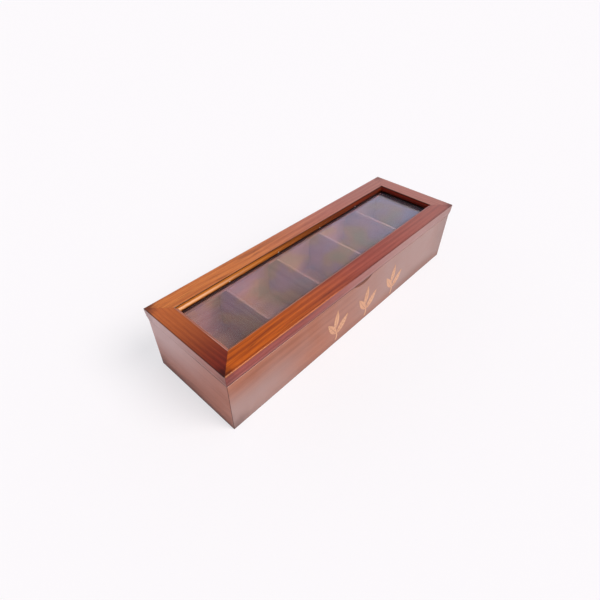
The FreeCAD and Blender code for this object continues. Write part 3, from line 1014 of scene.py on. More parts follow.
@dataclass(frozen=True)
class BeadWood:
    """Stained strip with a painted golden highlight along its top and painted shade, black,
    towards the pane.

    Heights are measured up from seat, the pane's face. wall is how far the rail's face
    lies from the middle, and joint_and_shade the width of the dark line along it, painted
    shade in the crevice. The gleam, a painted highlight, fades from the turn's start to
    gleam_run of it.
    """

    name: str
    grain: Grain
    seed: float
    stain: Stain
    far_stain: Stain
    turn: Span
    seat: float
    wall: float
    joint_and_shade: float = 0.3 * MM
    joint_and_shade_shares: Span = (-1.5, -0.5)
    streaks: Streaks = Streaks(9.0, 420.0, 4.0, 0.6)
    fibres: Streaks = Streaks(45.0, 1800.0, 3.0)
    fibre_levels: Span = (0.4, 0.65)
    fibre_share: float = 0.2
    fibre_tone: str = "#7a4a30"
    # Painted highlight along the top.
    gleam: str = "#f6c193"
    gleam_start: Span = (2.7 * MM, 3.7 * MM)
    gleam_end: Span = (4.7 * MM, 5.6 * MM)
    gleam_run: float = 0.3
    gleam_share: float = 0.66
    gleam_lacquer: float = 0.35
    lacquer_sheen: float = 0.25
    # Painted shade towards the pane and along the rail.
    black: str = "#140704"
    black_end: Span = (1.5 * MM, 2.4 * MM)
    black_share: float = 0.95
    sheen: float = 0.3
    fibre_roughness: float = 0.08
    gloss_index: float = 1.16
    relief: float = 0.02 * MM
    relief_share: float = 0.4

    def material(self) -> bpy.types.Material:
        """Build the material; the painted shade, black, rises from the seat on the pane.

        Returns:
            The material.
        """
        material, graph = ShaderGraph.of_material(self.name)
        place = graph.position()
        along, across, through = self.grain.turned(place)
        streak = self.streaks.on(graph, (along + self.seed, across, through))
        fibre = self.fibres.on(graph, (along, across, through))
        shift = along.rise(*self.turn)
        colour = graph.turning_stain(streak, shift, self.stain.stops(), self.far_stain.stops())
        fibres = fibre.rise(*self.fibre_levels) * self.fibre_share
        colour = graph.tone(fibres, colour, self.fibre_tone)
        height = place[2] - self.seat
        # Painted highlight along the top, fading out from the left end.
        lit = height.rise(*self.gleam_start) * height.fall(*self.gleam_end)
        lit = lit * along.fall(self.turn[0], self.gleam_run * self.turn[0])
        colour = graph.cover(lit * self.gleam_share, colour, self.gleam)
        # Painted shade: a dark line along the rail, and black towards the pane.
        line = abs(across).rise(*moved(scaled(self.joint_and_shade_shares, self.joint_and_shade), self.wall))
        dark = height.fall(*self.black_end).most(line) * self.black_share
        colour = graph.cover(dark, colour, self.black)
        graph.finish_surface(
            {
                "Base Color": colour,
                "Roughness": self.sheen + fibre * self.fibre_roughness,
                "Normal": graph.bump(fibre, self.relief, self.relief_share),
                "IOR": self.gloss_index,
                "Coat Weight": lit * self.gleam_lacquer,
                "Coat Roughness": self.lacquer_sheen,
            }
        )
        return material


@dataclass(frozen=True)
class PlainWood:
    """Thinly stained inner wood, matt, for the dividers and the bottom.

    crown is the height of a divider's top edge, which shows crown_tone by crown_share:
    painted light, a painted highlight or painted shade on that edge.
    """

    name: str
    grain: Grain
    seed: float
    stain: Stain
    crown: float | None = None
    crown_share: float = 0.0
    crown_tone: str = "#c39a8b"
    below_crown: Span = (0.5 * MM, 1.1 * MM)
    streaks: Streaks = Streaks(12.0, 160.0, 4.0, 0.6)
    fibres: Streaks = Streaks(60.0, 1700.0, 2.0)
    fibre_levels: Span = (0.4, 0.7)
    fibre_share: float = 0.14
    fibre_tone: str = "#8a6a5c"
    sheen: float = 0.5
    fibre_roughness: float = 0.2
    gloss_index: float = 1.45
    relief: float = 0.03 * MM
    relief_share: float = 0.2

    def material(self) -> bpy.types.Material:
        """Build the material; at the crown the colour turns to another tone, painted light.

        Returns:
            The material.
        """
        material, graph = ShaderGraph.of_material(self.name)
        place = graph.position()
        along, across, through = self.grain.turned(place)
        streak = self.streaks.on(graph, (along + self.seed, across, through))
        fibre = self.fibres.on(graph, (along, across, through))
        colour = graph.ramp(streak, self.stain.stops())
        fibres = fibre.rise(*self.fibre_levels) * self.fibre_share
        colour = graph.tone(fibres, colour, self.fibre_tone)
        if self.crown is not None:
            # Painted light on the top edge: lighter or darker by crown_tone.
            near_crown = (self.crown - place[2]).fall(*self.below_crown)
            colour = graph.cover(near_crown * self.crown_share, colour, self.crown_tone)
        graph.finish_surface(
            {
                "Base Color": colour,
                "Roughness": self.sheen + fibre * self.fibre_roughness,
                "Normal": graph.bump(fibre, self.relief, self.relief_share),
                "IOR": self.gloss_index,
            }
        )
        return material


@dataclass(frozen=True)
class HazyPane:
    """Glass with a faint, cloudy, many-coloured veil, its haze with a painted reflection of
    the room, and a few specks of dust.

    Each pair of numbers is where a smooth step starts and ends, along the axis that its
    name ends with. Beside the right and the rear bead the pane is nearly clear.
    reflection_veil is the veil's share at the left end; it thickens towards the right, a
    painted reflection. The cloud takes its even and its uneven part.
    """

    name: str = "hazy_pane"
    reflection_veil: float = 0.085
    left_reflection: float = 0.05
    right_reflection: float = 0.07
    even_part: float = 0.7
    cloudy_part: float = 0.6
    veil_roughness: float = 0.6
    haze: float = 0.09
    glass_index: float = 1.5
    clear: str = "#f2f1f4"
    tints: tuple[tuple[float, str], ...] = (
        (0.34, "#a4b6dc"),
        (0.42, "#c9b0d0"),
        (0.5, "#b9adc4"),
        (0.57, "#d6b9a8"),
        (0.66, "#b0b9a8"),
    )
    tint_cells: Cells = (26.0, 30.0, 1.0)
    right_tint: str = "#a3b6dc"
    right_share: float = 0.45
    right_x: Span = (0.0, 180 * MM)
    edge_tint: str = "#93b2ea"
    edge_share: float = 0.5
    rear_to_front: float = 0.8
    edge_x: Span = (10 * MM, 110 * MM)
    front_y: Span = (-30 * MM, -8 * MM)
    rear_y: Span = (20 * MM, 31 * MM)
    warm_tint: str = "#b7a698"
    warm_share: float = 0.55
    warm_x: Span = (-60 * MM, 10 * MM)
    warm_y: Span = (-22 * MM, 8 * MM)
    cloud_cells: Cells = (17.0, 22.0, 1.0)
    cloud_shift: float = 3.0
    speck_cells: Cells = (900.0, 900.0, 1.0)
    speck_levels: Span = (0.83, 0.87)
    speck_share: float = 0.5
    left_reflection_x: Span = (-190 * MM, -60 * MM)
    right_reflection_x: Span = (-60 * MM, 180 * MM)
    beside_bead_x: Span = (154.2 * MM, 155.4 * MM)
    beside_bead_y: Span = (31.6 * MM, 32.4 * MM)
    cleared_right: float = 0.88
    cleared_rear: float = 0.85

    def tint(self, graph: ShaderGraph) -> bpy.types.NodeSocket:
        """Colour of the veil, haze and painted reflection: cloudy, bluer towards the right, warmer at
        the front left.

        Args:
            graph: Graph of the material.

        Returns:
            Socket of the colour.
        """
        x, y, _ = graph.position()
        stops = [(level, srgb(code)) for level, code in self.tints]
        colour = graph.ramp(graph.cloud(self.tint_cells), stops)
        right = x.rise(*self.right_x) * self.right_share
        colour = graph.cover(right, colour, self.right_tint)
        edges = y.fall(*self.front_y).most(y.rise(*self.rear_y) * self.rear_to_front)
        edges = x.rise(*self.edge_x) * edges * self.edge_share
        colour = graph.cover(edges, colour, self.edge_tint)
        warm = x.fall(*self.warm_x) * y.fall(*self.warm_y) * self.warm_share
        return graph.cover(warm, colour, self.warm_tint)

    def share(self, graph: ShaderGraph) -> Value:
        """How much of the veil and dust shows; the veil thickens towards the right, a painted
        reflection.

        Args:
            graph: Graph of the material.

        Returns:
            Share of the veil, 0 to 1.
        """
        x, y, _ = graph.position()
        cloud = graph.cloud(self.cloud_cells, 3.0, self.cloud_shift)
        speck = graph.cloud(self.speck_cells, 0.0).rise(*self.speck_levels)
        left = x.rise(*self.left_reflection_x) * self.left_reflection
        thick = left + x.rise(*self.right_reflection_x) * self.right_reflection + self.reflection_veil
        thick = thick * (1.0 - x.rise(*self.beside_bead_x) * self.cleared_right)
        thick = thick * (1.0 - y.rise(*self.beside_bead_y) * self.cleared_rear)
        return (cloud * self.cloudy_part + self.even_part) * thick + speck * self.speck_share

    def material(self) -> bpy.types.Material:
        """Build the material: clear glass, open to lamp rays, mixed with its veil of haze and painted
        reflection.

        Returns:
            The material.
        """
        material, graph = ShaderGraph.of_material(self.name)
        veil = graph.surface({"Base Color": self.tint(graph), "Roughness": self.veil_roughness})
        glass = graph.surface(
            {
                "Base Color": srgb(self.clear),
                "Roughness": self.haze,
                "IOR": self.glass_index,
                "Transmission Weight": 1.0,
            }
        )
        opening = graph.node("BsdfTransparent", None, {"Color": srgb(self.clear)})
        lamp_ray = graph.node("LightPath").outputs["Is Shadow Ray"]
        pane = graph.blend(lamp_ray, glass, opening)
        graph.finish(graph.blend(self.share(graph), pane, veil))
        return material


@dataclass(frozen=True)
class DulledMetal:
    """Drawn or rolled metal, its polish dulled in clouds.

    Beyond stopped_from along X the heads are stopped with dark putty.
    """

    name: str
    colour: str
    tarnish: str
    sheen: float
    stopped_from: float | None = None
    putty: str = "#3c120a"
    putty_blend: float = 1 * MM
    cloud_cells: Cells = (420.0, 420.0, 420.0)
    tarnish_levels: Span = (0.4, 0.7)
    tarnish_share: float = 0.7
    cloud_roughness: float = 0.15
    scratch_cells: Cells = (900.0, 7000.0, 7000.0)
    scratch_roughness: float = 0.08
    relief: float = 0.01 * MM
    relief_share: float = 0.4

    def material(self) -> bpy.types.Material:
        """Build the material.

        Returns:
            The material.
        """
        material, graph = ShaderGraph.of_material(self.name)
        cloud = graph.cloud(self.cloud_cells, 3.0)
        scratch = graph.cloud(self.scratch_cells)
        tarnished = cloud.rise(*self.tarnish_levels) * self.tarnish_share
        colour = graph.cover(tarnished, srgb(self.colour), self.tarnish)
        metallic = 1.0
        if self.stopped_from is not None:
            x = graph.position()[0]
            stopped = x.rise(self.stopped_from, self.stopped_from + self.putty_blend)
            colour = graph.cover(stopped, colour, self.putty)
            metallic = 1.0 - stopped
        dulling = cloud * self.cloud_roughness + scratch * self.scratch_roughness
        graph.finish_surface(
            {
                "Base Color": colour,
                "Metallic": metallic,
                "Roughness": dulling + self.sheen,
                "Normal": graph.bump(scratch, self.relief, self.relief_share),
            }
        )
        return material


@dataclass(frozen=True)
class PrintedInk:
    """Thin opaque print on wood, whose grain shows through a little."""

    name: str = "leaf_print_ink"
    ink: str = "#c9956f"
    worn: str = "#a8694a"
    sheen: float = 0.42
    lacquer: float = 0.4
    lacquer_sheen: float = 0.3
    relief: float = 0.02 * MM
    relief_share: float = 0.4
    streak_cells: Cells = (14.0, 10.0, 330.0)
    streak_part: float = 0.6
    fibre_cells: Cells = (50.0, 50.0, 1500.0)
    fibre_roughness: float = 0.15
    wear_levels: Span = (0.46, 0.66)
    wear_share: float = 0.5

    def material(self) -> bpy.types.Material:
        """Build the material.

        Returns:
            The material.
        """
        material, graph = ShaderGraph.of_material(self.name)
        streak = graph.cloud(self.streak_cells, 3.0)
        fibre = graph.cloud(self.fibre_cells)
        wear = streak * self.streak_part + fibre * (1.0 - self.streak_part)
        wear = wear.rise(*self.wear_levels) * self.wear_share
        graph.finish_surface(
            {
                "Base Color": graph.cover(wear, srgb(self.ink), self.worn),
                "Roughness": self.sheen + fibre * self.fibre_roughness,
                "Normal": graph.bump(fibre, self.relief, self.relief_share),
                "Coat Weight": self.lacquer,
                "Coat Roughness": self.lacquer_sheen,
            }
        )
        return material


# Meshes


MERGE_DISTANCE = 1e-7
SLIVER = 1e-8


def mesh_piece(
    name: str, points: np.ndarray, faces: np.ndarray, material: bpy.types.Material
) -> bpy.types.Object:
    """New object from points and faces, with doubles merged and faces pointing outwards.

    Args:
        name: Name of the piece.
        points: Array of n points by 3.
        faces: Array of m faces by 4 point numbers.
        material: Its finish.

    Returns:
        The object, linked to the scene.
    """
    mesh = bpy.data.meshes.new(name)
    mesh.from_pydata(points.reshape(-1, 3).tolist(), [], faces.tolist())
    work = bmesh.new()
    work.from_mesh(mesh)
    bmesh.ops.remove_doubles(work, verts=work.verts, dist=MERGE_DISTANCE)
    bmesh.ops.dissolve_degenerate(work, edges=work.edges, dist=SLIVER)
    bmesh.ops.recalc_face_normals(work, faces=work.faces)
    work.to_mesh(mesh)
    work.free()
    mesh.materials.append(material)
    made = bpy.data.objects.new(name, mesh)
    bpy.context.scene.collection.objects.link(made)
    return made


def grid_faces(rows: int, columns: int) -> np.ndarray:
    """Quads between the neighbouring points of a grid.

    Args:
        rows: Points one way.
        columns: Points the other way, which are numbered first.

    Returns:
        Array of faces by 4 point numbers.
    """
    index = np.arange(rows * columns).reshape(rows, columns)
    corners = [index[:-1, :-1], index[:-1, 1:], index[1:, 1:], index[1:, :-1]]
    return np.stack(corners, axis=-1).reshape(-1, 4)


def joined(parts: list[tuple[np.ndarray, np.ndarray]]) -> tuple[np.ndarray, np.ndarray]:
    """Points and faces of several parts as one mesh.

    Args:
        parts: Points and faces of each part.

    Returns:
        All the points, and all the faces with their numbers moved on.
    """
    counts = [0] + [len(points) for points, _ in parts[:-1]]
    starts = np.cumsum(counts)
    faces = [quads + start for (_, quads), start in zip(parts, starts)]
    return np.concatenate([points for points, _ in parts]), np.concatenate(faces)


def slabs(front: np.ndarray, thickness: np.ndarray) -> tuple[np.ndarray, np.ndarray]:
    """Closed slabs, one for each patch of a stack of grids.

    The back of a slab is its front moved by the thickness. The rim follows the grid's
    border once round, so both are closed by quads.

    Args:
        front: Array of patches by rows by columns by 3.
        thickness: Step of 3 numbers from the front to the back.

    Returns:
        Points and faces of all the slabs.
    """
    patches, rows, columns, _ = front.shape
    both = np.stack([front, front + thickness], axis=1)
    index = np.arange(rows * columns).reshape(rows, columns)
    border = np.concatenate(
        [index[0, :-1], index[:-1, -1], index[-1, :0:-1], index[:0:-1, 0]]
    )
    following = np.roll(border, -1)
    back = rows * columns
    sheet = grid_faces(rows, columns)
    rim = np.stack([border, following, following + back, border + back], axis=-1)
    one = np.concatenate([sheet, sheet[:, ::-1] + back, rim])
    steps = np.arange(patches)[:, None, None] * (2 * back)
    return both.reshape(-1, 3), (one[None] + steps).reshape(-1, 4)


# Sub-assemblies


def dress(node: str, material: bpy.types.Material) -> None:
    """Give a node of the frame its finish.

    Args:
        node: Name of the node.
        material: Its finish.
    """
    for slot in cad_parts[node].material_slots:
        slot.material = material
    LOG.info("dressed %s in %s", node, material.name)


def half_sizes(*nodes: str) -> Vector:
    """Reach of a group of nodes from the middle, and their top.

    Args:
        nodes: Names of the nodes.

    Returns:
        Half their length, half their depth and the height of their top.
    """
    corners = [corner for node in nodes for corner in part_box(node)]
    half_length = max(abs(corner.x) for corner in corners)
    half_depth = max(abs(corner.y) for corner in corners)
    return Vector((half_length, half_depth, max(corner.z for corner in corners)))


WALL_STAIN = Stain("#a0644b", "#985d45", "#8c533b")
WALL_FAR_STAIN = Stain("#9c614c", "#955b46", "#8a513d")
END_STAIN = Stain("#ae6a52", "#a66249", "#99563e")
WALL_INNER_STAIN = Stain("#d79e88", "#d0957f", "#c58a74")
INNER_STAIN = Stain("#c18d7b", "#ba8574", "#ae7a69")
# Painted reflection on the long walls, and the painted highlight on their rim.
WALL_REFLECTION = "#987b75"
WALL_HIGHLIGHT = "#cfa596"
WALLS = {
    "front_panel": (Grain.LENGTHWISE, 0.0),
    "rear_panel": (Grain.LENGTHWISE, 0.63),
    "left_end_panel": (Grain.CROSSWISE, 1.37),
    "right_end_panel": (Grain.CROSSWISE, 2.11),
}


@dataclass
class Carcass:
    """The box that stands still: four walls, a bottom and the dividers.

    crowns holds the painted light on each divider's top edge, from the left: its tone,
    darker on the first two, a painted shade, and lighter on the others, a painted
    highlight, and its strength.
    """

    wall_lacquer: float = 0.1
    wall_fibre_share: float = 0.08
    bottom_seed: float = 0.2
    divider_seed: float = 0.41
    crowns: tuple[tuple[str, float], ...] = (
        ("#8a6258", 0.5),
        ("#8a6258", 0.25),
        ("#c39a8b", 0.39),
        ("#c39a8b", 0.52),
    )

    def dress_walls(self) -> None:
        """Finish the four walls, the grain of each along its length."""
        sizes = half_sizes("front_panel", "left_end_panel")
        tone_and_light = WallToneAndLight(*sizes)
        for node, (grain, seed) in WALLS.items():
            end = grain is Grain.CROSSWISE
            finish = LacqueredWood(
                name=f"{node}_wood",
                grain=grain,
                seed=seed,
                stain=END_STAIN if end else WALL_STAIN,
                far_stain=END_STAIN if end else WALL_FAR_STAIN,
                side_stain=WALL_INNER_STAIN,
                turn=(-sizes.x, sizes.x),
                tone_and_light=tone_and_light,
                lacquer=self.wall_lacquer,
                fibre_share=self.wall_fibre_share,
                reflection_veil=WARM_REFLECTION if end else WALL_REFLECTION,
                highlight_tone=WALL_HIGHLIGHT,
            )
            dress(node, finish.material())

    def dress_inside(self) -> None:
        """Finish the bottom and the dividers."""
        bottom = PlainWood("bottom_wood", Grain.LENGTHWISE, self.bottom_seed, INNER_STAIN)
        dress("base_panel", bottom.material())
        for number, (tone, share) in enumerate(self.crowns, start=1):
            node = f"divider_{number}"
            finish = PlainWood(
                name=f"{node}_wood",
                grain=Grain.CROSSWISE,
                seed=number * self.divider_seed,
                stain=INNER_STAIN,
                crown=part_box(node)[1].z,
                crown_share=share,
                crown_tone=tone,
            )
            dress(node, finish.material())

    def build(self) -> None:
        """Dress the whole carcass."""
        self.dress_walls()
        self.dress_inside()


GOLDEN = Stain("#d0681a", "#b85614", "#944010")
REDDISH = Stain("#ab5444", "#9b4639", "#84372c")
DEEP = Stain("#7c2a1b", "#702317", "#611b12")
ORANGE = Stain("#db8642", "#cd7638", "#b2602c")
RUSSET = Stain("#bb7464", "#b0685a", "#9e584b")
CHESTNUT = Stain("#c26a30", "#ba622c", "#ab5726")
BROWN_SIDE = Stain("#9b4a40", "#91413a", "#7c332c")
MAUVE_SIDE = Stain("#ab6f60", "#a3675a", "#945b4e")
TAN = Stain("#b47a5c", "#a86e50", "#94583c")
ROSE = Stain("#b28282", "#a87878", "#90605e")
BRIGHT = Stain("#ca7d32", "#ba6b24", "#94501a")
DULL = Stain("#672208", "#541a06", "#3c1004")
BLUSH = Stain("#b47a6a", "#aa7060", "#90584a")
OXBLOOD = Stain("#7a2618", "#6a1e12", "#4e140c")


@dataclass(frozen=True)
class RailFinish:
    """How a rail of the lid is stained.

    turn_shares is the stretch over which the stain turns into far_stain, as shares of the
    frame's half length or half depth, whichever the rail runs along.
    """

    grain: Grain
    seed: float
    stain: Stain
    far_stain: Stain
    side_stain: Stain
    turn_shares: Span
    vein: float
    # Tones of the painted highlight on the arrises and of the painted reflection.
    highlight_tone: str = "#dd9a68"
    reflection_veil: str = "#9b7570"


@dataclass(frozen=True)
class BeadFinish:
    """How a strip is stained, and how wide the dark line of painted shade along its rail is."""

    grain: Grain
    seed: float
    stain: Stain
    far_stain: Stain
    joint_and_shade: float


RAILS = {
    "lid_front_rail": RailFinish(
        Grain.LENGTHWISE, 3.31, GOLDEN, REDDISH, BROWN_SIDE, (-0.68, 0.1), 0.5, "#bd7038"
    ),
    "lid_rear_rail": RailFinish(
        Grain.LENGTHWISE, 4.77, ORANGE, RUSSET, BROWN_SIDE, (-0.6, 0.5), 0.45
    ),
    "lid_left_rail": RailFinish(
        Grain.CROSSWISE, 5.23, DEEP, CHESTNUT, MAUVE_SIDE, (-0.9, 0.9), 0.0, "#cf9480", WARM_REFLECTION
    ),
    "lid_right_rail": RailFinish(
        Grain.CROSSWISE, 6.91, RUSSET, RUSSET, MAUVE_SIDE, (-1.0, 1.0), 0.1
    ),
}
# The strips are one wood; by side their stains hold painted light: the rear one bright at its left end
# and dull to the right, a painted highlight that fades, and the right one dark, painted shade.
BEADS = {
    "front": BeadFinish(Grain.LENGTHWISE, 7.3, TAN, ROSE, 0.1 * MM),
    "rear": BeadFinish(Grain.LENGTHWISE, 8.3, BRIGHT, DULL, 0.3 * MM),
    "left": BeadFinish(Grain.CROSSWISE, 9.3, BLUSH, BLUSH, 0.1 * MM),
    "right": BeadFinish(Grain.CROSSWISE, 10.3, OXBLOOD, OXBLOOD, 0.8 * MM),
}


@dataclass
class LidFrame:
    """The four mitred rails of the lid and the strips that hold its pane.

    bead_turn_shares is the stretch over which the strips' stain turns, as shares of the
    frame's half length. Brads nearer the window's end than stopped_inset are stopped.
    """

    bead_turn_shares: Span = (-0.92, 0.62)
    stopped_inset: float = 8 * MM

    def window(self) -> Vector:
        """Half the length, half the depth and the top of the window."""
        return half_sizes("front_glazing_bead", "left_glazing_bead")

    def tone_and_light(self) -> LidToneAndLight:
        """Tone and painted light that follow the frame's outline and its window.

        Returns:
            The toning.
        """
        outer = half_sizes("lid_front_rail", "lid_left_rail")
        window = self.window()
        return LidToneAndLight(outer.x, outer.y, window.x, window.y, outer.z)

    def dress_rails(self) -> None:
        """Finish the rails: golden at the left, turning red towards the right."""
        tone_and_light = self.tone_and_light()
        for node, rail in RAILS.items():
            lengthwise = rail.grain is Grain.LENGTHWISE
            reach = tone_and_light.half_length if lengthwise else tone_and_light.half_depth
            finish = LacqueredWood(
                name=f"{node}_wood",
                grain=rail.grain,
                seed=rail.seed,
                stain=rail.stain,
                far_stain=rail.far_stain,
                side_stain=rail.side_stain,
                turn=scaled(rail.turn_shares, reach),
                tone_and_light=tone_and_light,
                vein=rail.vein,
                reflection_veil=rail.reflection_veil,
                highlight_tone=rail.highlight_tone,
            )
            dress(node, finish.material())

    def dress_beads(self) -> None:
        """Finish the quarter-round strips, the rear one brightest at its left end, a painted
        highlight.
        """
        half_length = self.tone_and_light().half_length
        window = self.window()
        for side, bead in BEADS.items():
            node = f"{side}_glazing_bead"
            finish = BeadWood(
                name=f"{side}_bead_wood",
                grain=bead.grain,
                seed=bead.seed,
                stain=bead.stain,
                far_stain=bead.far_stain,
                turn=scaled(self.bead_turn_shares, half_length),
                seat=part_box(node)[0].z,
                wall=window.y if bead.grain is Grain.LENGTHWISE else window.x,
                joint_and_shade=bead.joint_and_shade,
            )
            dress(node, finish.material())

    def build(self) -> None:
        """Dress the rails, the beads, their brads and the pane."""
        self.dress_rails()
        self.dress_beads()
        brads = DulledMetal(
            name="brad_steel",
            colour="#f0ece4",
            tarnish="#b9b2a6",
            sheen=0.2,
            stopped_from=self.window().x - self.stopped_inset,
        )
        dress("bead_brads", brads.material())
        dress("lid_glass", HazyPane().material())


@dataclass
class Screws:
    """Slotted countersunk screws that stand for one node of plain ones.

    Widths below the head's rim are shares of its radius. The slots are turned by
    first_turn, and by turn_step more from screw to screw, in radians.
    """

    node: str
    body: str
    upwards: bool
    spacing: float = 15 * MM
    slot_width: float = 0.36 * MM
    slot_depth: float = 0.32 * MM
    bevel: float = 0.42 * MM
    head_depth: float = 0.7 * MM
    shank_share: float = 0.54
    point_share: float = 0.162
    taper_share: float = 0.9
    first_turn: float = 0.6
    turn_step: float = 0.9
    rows: int = 9
    columns: int = 24

    def build(self, brass: bpy.types.Material) -> None:
        """Build the four screws of this node as one piece.

        Args:
            brass: Their finish.
        """
        low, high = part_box(self.node)
        radius = (high.y - low.y) / 2
        face = high.z if self.upwards else low.z
        length = high.z - low.z
        centre_y = (low.y + high.y) / 2
        outer = high.x - radius
        places = (-outer, self.spacing - outer, outer - self.spacing, outer)
        flip = (1, 1, 1 if self.upwards else -1)
        parts = []
        for number, centre_x in enumerate(places):
            turn = self.first_turn + self.turn_step * number
            points, faces = self.screw(radius, length, turn)
            parts.append((points * flip + (centre_x, centre_y, face), faces))
        name = f"{self.node}_slotted"
        piece = mesh_piece(name, *joined(parts), brass)
        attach(piece, self.body)
        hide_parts(self.node)
        LOG.info("built %s", name)

    def screw(self, radius: float, length: float, turn: float) -> tuple[np.ndarray, np.ndarray]:
        """One screw with its head's face at Z 0 and its tip below.

        The head's face is a grid: v runs across the slot, with two columns at each slot
        wall, and u from rim to rim along it, so a point is (v, u * sqrt(radius^2 - v^2)).
        Between the walls the face lies lower by the slot's depth. The flank is the face's
        border carried down through rings: the cone of the head, the shank and the tip.

        Args:
            radius: Radius of the head.
            length: Length of the screw.
            turn: Angle of the slot, in radians.

        Returns:
            Points and faces.
        """
        half = self.slot_width / 2
        side = radius * np.sin(np.linspace(0, math.pi / 2, self.rows))[1:]
        outside = np.concatenate([[half], side[side > 1.3 * half]])
        v = np.concatenate([-outside[::-1], [-half, 0.0, half], outside])
        high = np.zeros(len(outside))
        level = np.concatenate([high, np.full(3, -self.slot_depth), high])
        u = np.sin(np.linspace(-math.pi / 2, math.pi / 2, self.columns))
        reach = np.sqrt(np.maximum(radius**2 - v**2, 0.0))
        sheets = np.broadcast_arrays(v[:, None], reach[:, None] * u[None], level[:, None])
        face = np.stack(sheets, axis=-1)
        border = np.concatenate([face[:, 0], face[::-1, -1]])
        direction = border[:, :2] / radius
        shank, point = self.shank_share * radius, self.point_share * radius
        rings = (
            (radius - self.bevel, -self.bevel),
            (shank, -self.head_depth),
            (shank, -self.taper_share * length),
            (point, -length),
            (0.0, -length),
        )
        lower = [
            np.column_stack([direction * width, np.full(len(border), depth)])
            for width, depth in rings
        ]
        flank = np.stack([border, *lower])
        flank = np.concatenate([flank, flank[:, :1]], axis=1)
        points, faces = joined(
            [
                (face.reshape(-1, 3), grid_faces(len(v), self.columns)),
                (flank.reshape(-1, 3), grid_faces(len(rings) + 1, len(border) + 1)),
            ]
        )
        spin = np.array([[math.cos(turn), -math.sin(turn)], [math.sin(turn), math.cos(turn)]])
        points[:, :2] = points[:, :2] @ spin.T
        return points, faces


@dataclass
class Hinges:
    """Two butt hinges let into the rear rim, with their screws."""

    sides: tuple[str, str] = ("left", "right")

    def build(self) -> None:
        """Dress the leaves and pins and build the screws."""
        brass = DulledMetal("hinge_brass_metal", "#caa35c", "#94703a", 0.26).material()
        steel = DulledMetal("pin_steel", "#bdb8b0", "#8a847a", 0.28).material()
        for side in self.sides:
            dress(f"{side}_hinge_box_leaf", brass)
            dress(f"{side}_hinge_lid_leaf", brass)
            dress(f"{side}_hinge_pin", steel)
        Screws("box_leaf_screws", "box", upwards=True).build(brass)
        Screws("lid_leaf_screws", "lid", upwards=False).build(brass)


@dataclass(frozen=True)
class Leaf:
    """One pointed leaf of a sprig, cut by its midrib and side veins.

    A point of the leaf has a share t of the way from stalk to tip and a share s of the
    half width from midrib to margin. The half width is width * sin(pi * t^fullness), and
    the veins lean forward: t grows with s. The bands between the side veins are printed,
    each a grid of rows by columns, and start and end a gap away from stalk and tip.
    """

    root: tuple[float, float]
    lean: float
    length: float
    width: float
    bend: float
    bands: int = 6
    rows: int = 7
    columns: int = 6
    midrib: float = 0.35 * MM
    midrib_taper: float = 0.7
    rib_share: float = 0.4
    vein_share: float = 0.1
    gap_share: float = 0.02
    forward: float = 0.1
    fullness: float = 0.8

    def patches(self) -> np.ndarray:
        """Both halves of the leaf as patches of a grid, in the plane of the panel.

        Returns:
            Array of patches by rows by columns by 2: across and up.
        """
        band, t_share, s_share, half = np.meshgrid(
            np.arange(self.bands),
            np.linspace(self.vein_share / 2, 1 - self.vein_share / 2, self.rows),
            np.linspace(0, 1, self.columns),
            np.array([-1.0, 1.0]),
            indexing="ij",
        )
        t = self.gap_share + (1 - 2 * self.gap_share) * (band + t_share) / self.bands
        t = t + self.forward * s_share * 4 * t * (1 - t) * (1 - t)
        half_width = self.width * np.sin(math.pi * t**self.fullness)
        rib = np.minimum(self.midrib * (1 - self.midrib_taper * t), self.rib_share * half_width)
        aside = half * (rib + s_share * (half_width - rib)) + self.bend * t**2
        forth = t * self.length
        across = self.root[0] + forth * math.sin(self.lean) + aside * math.cos(self.lean)
        up = self.root[1] + forth * math.cos(self.lean) - aside * math.sin(self.lean)
        grid = np.stack([across, up], axis=-1)
        return np.moveaxis(grid, 3, 0).reshape(-1, self.rows, self.columns, 2)


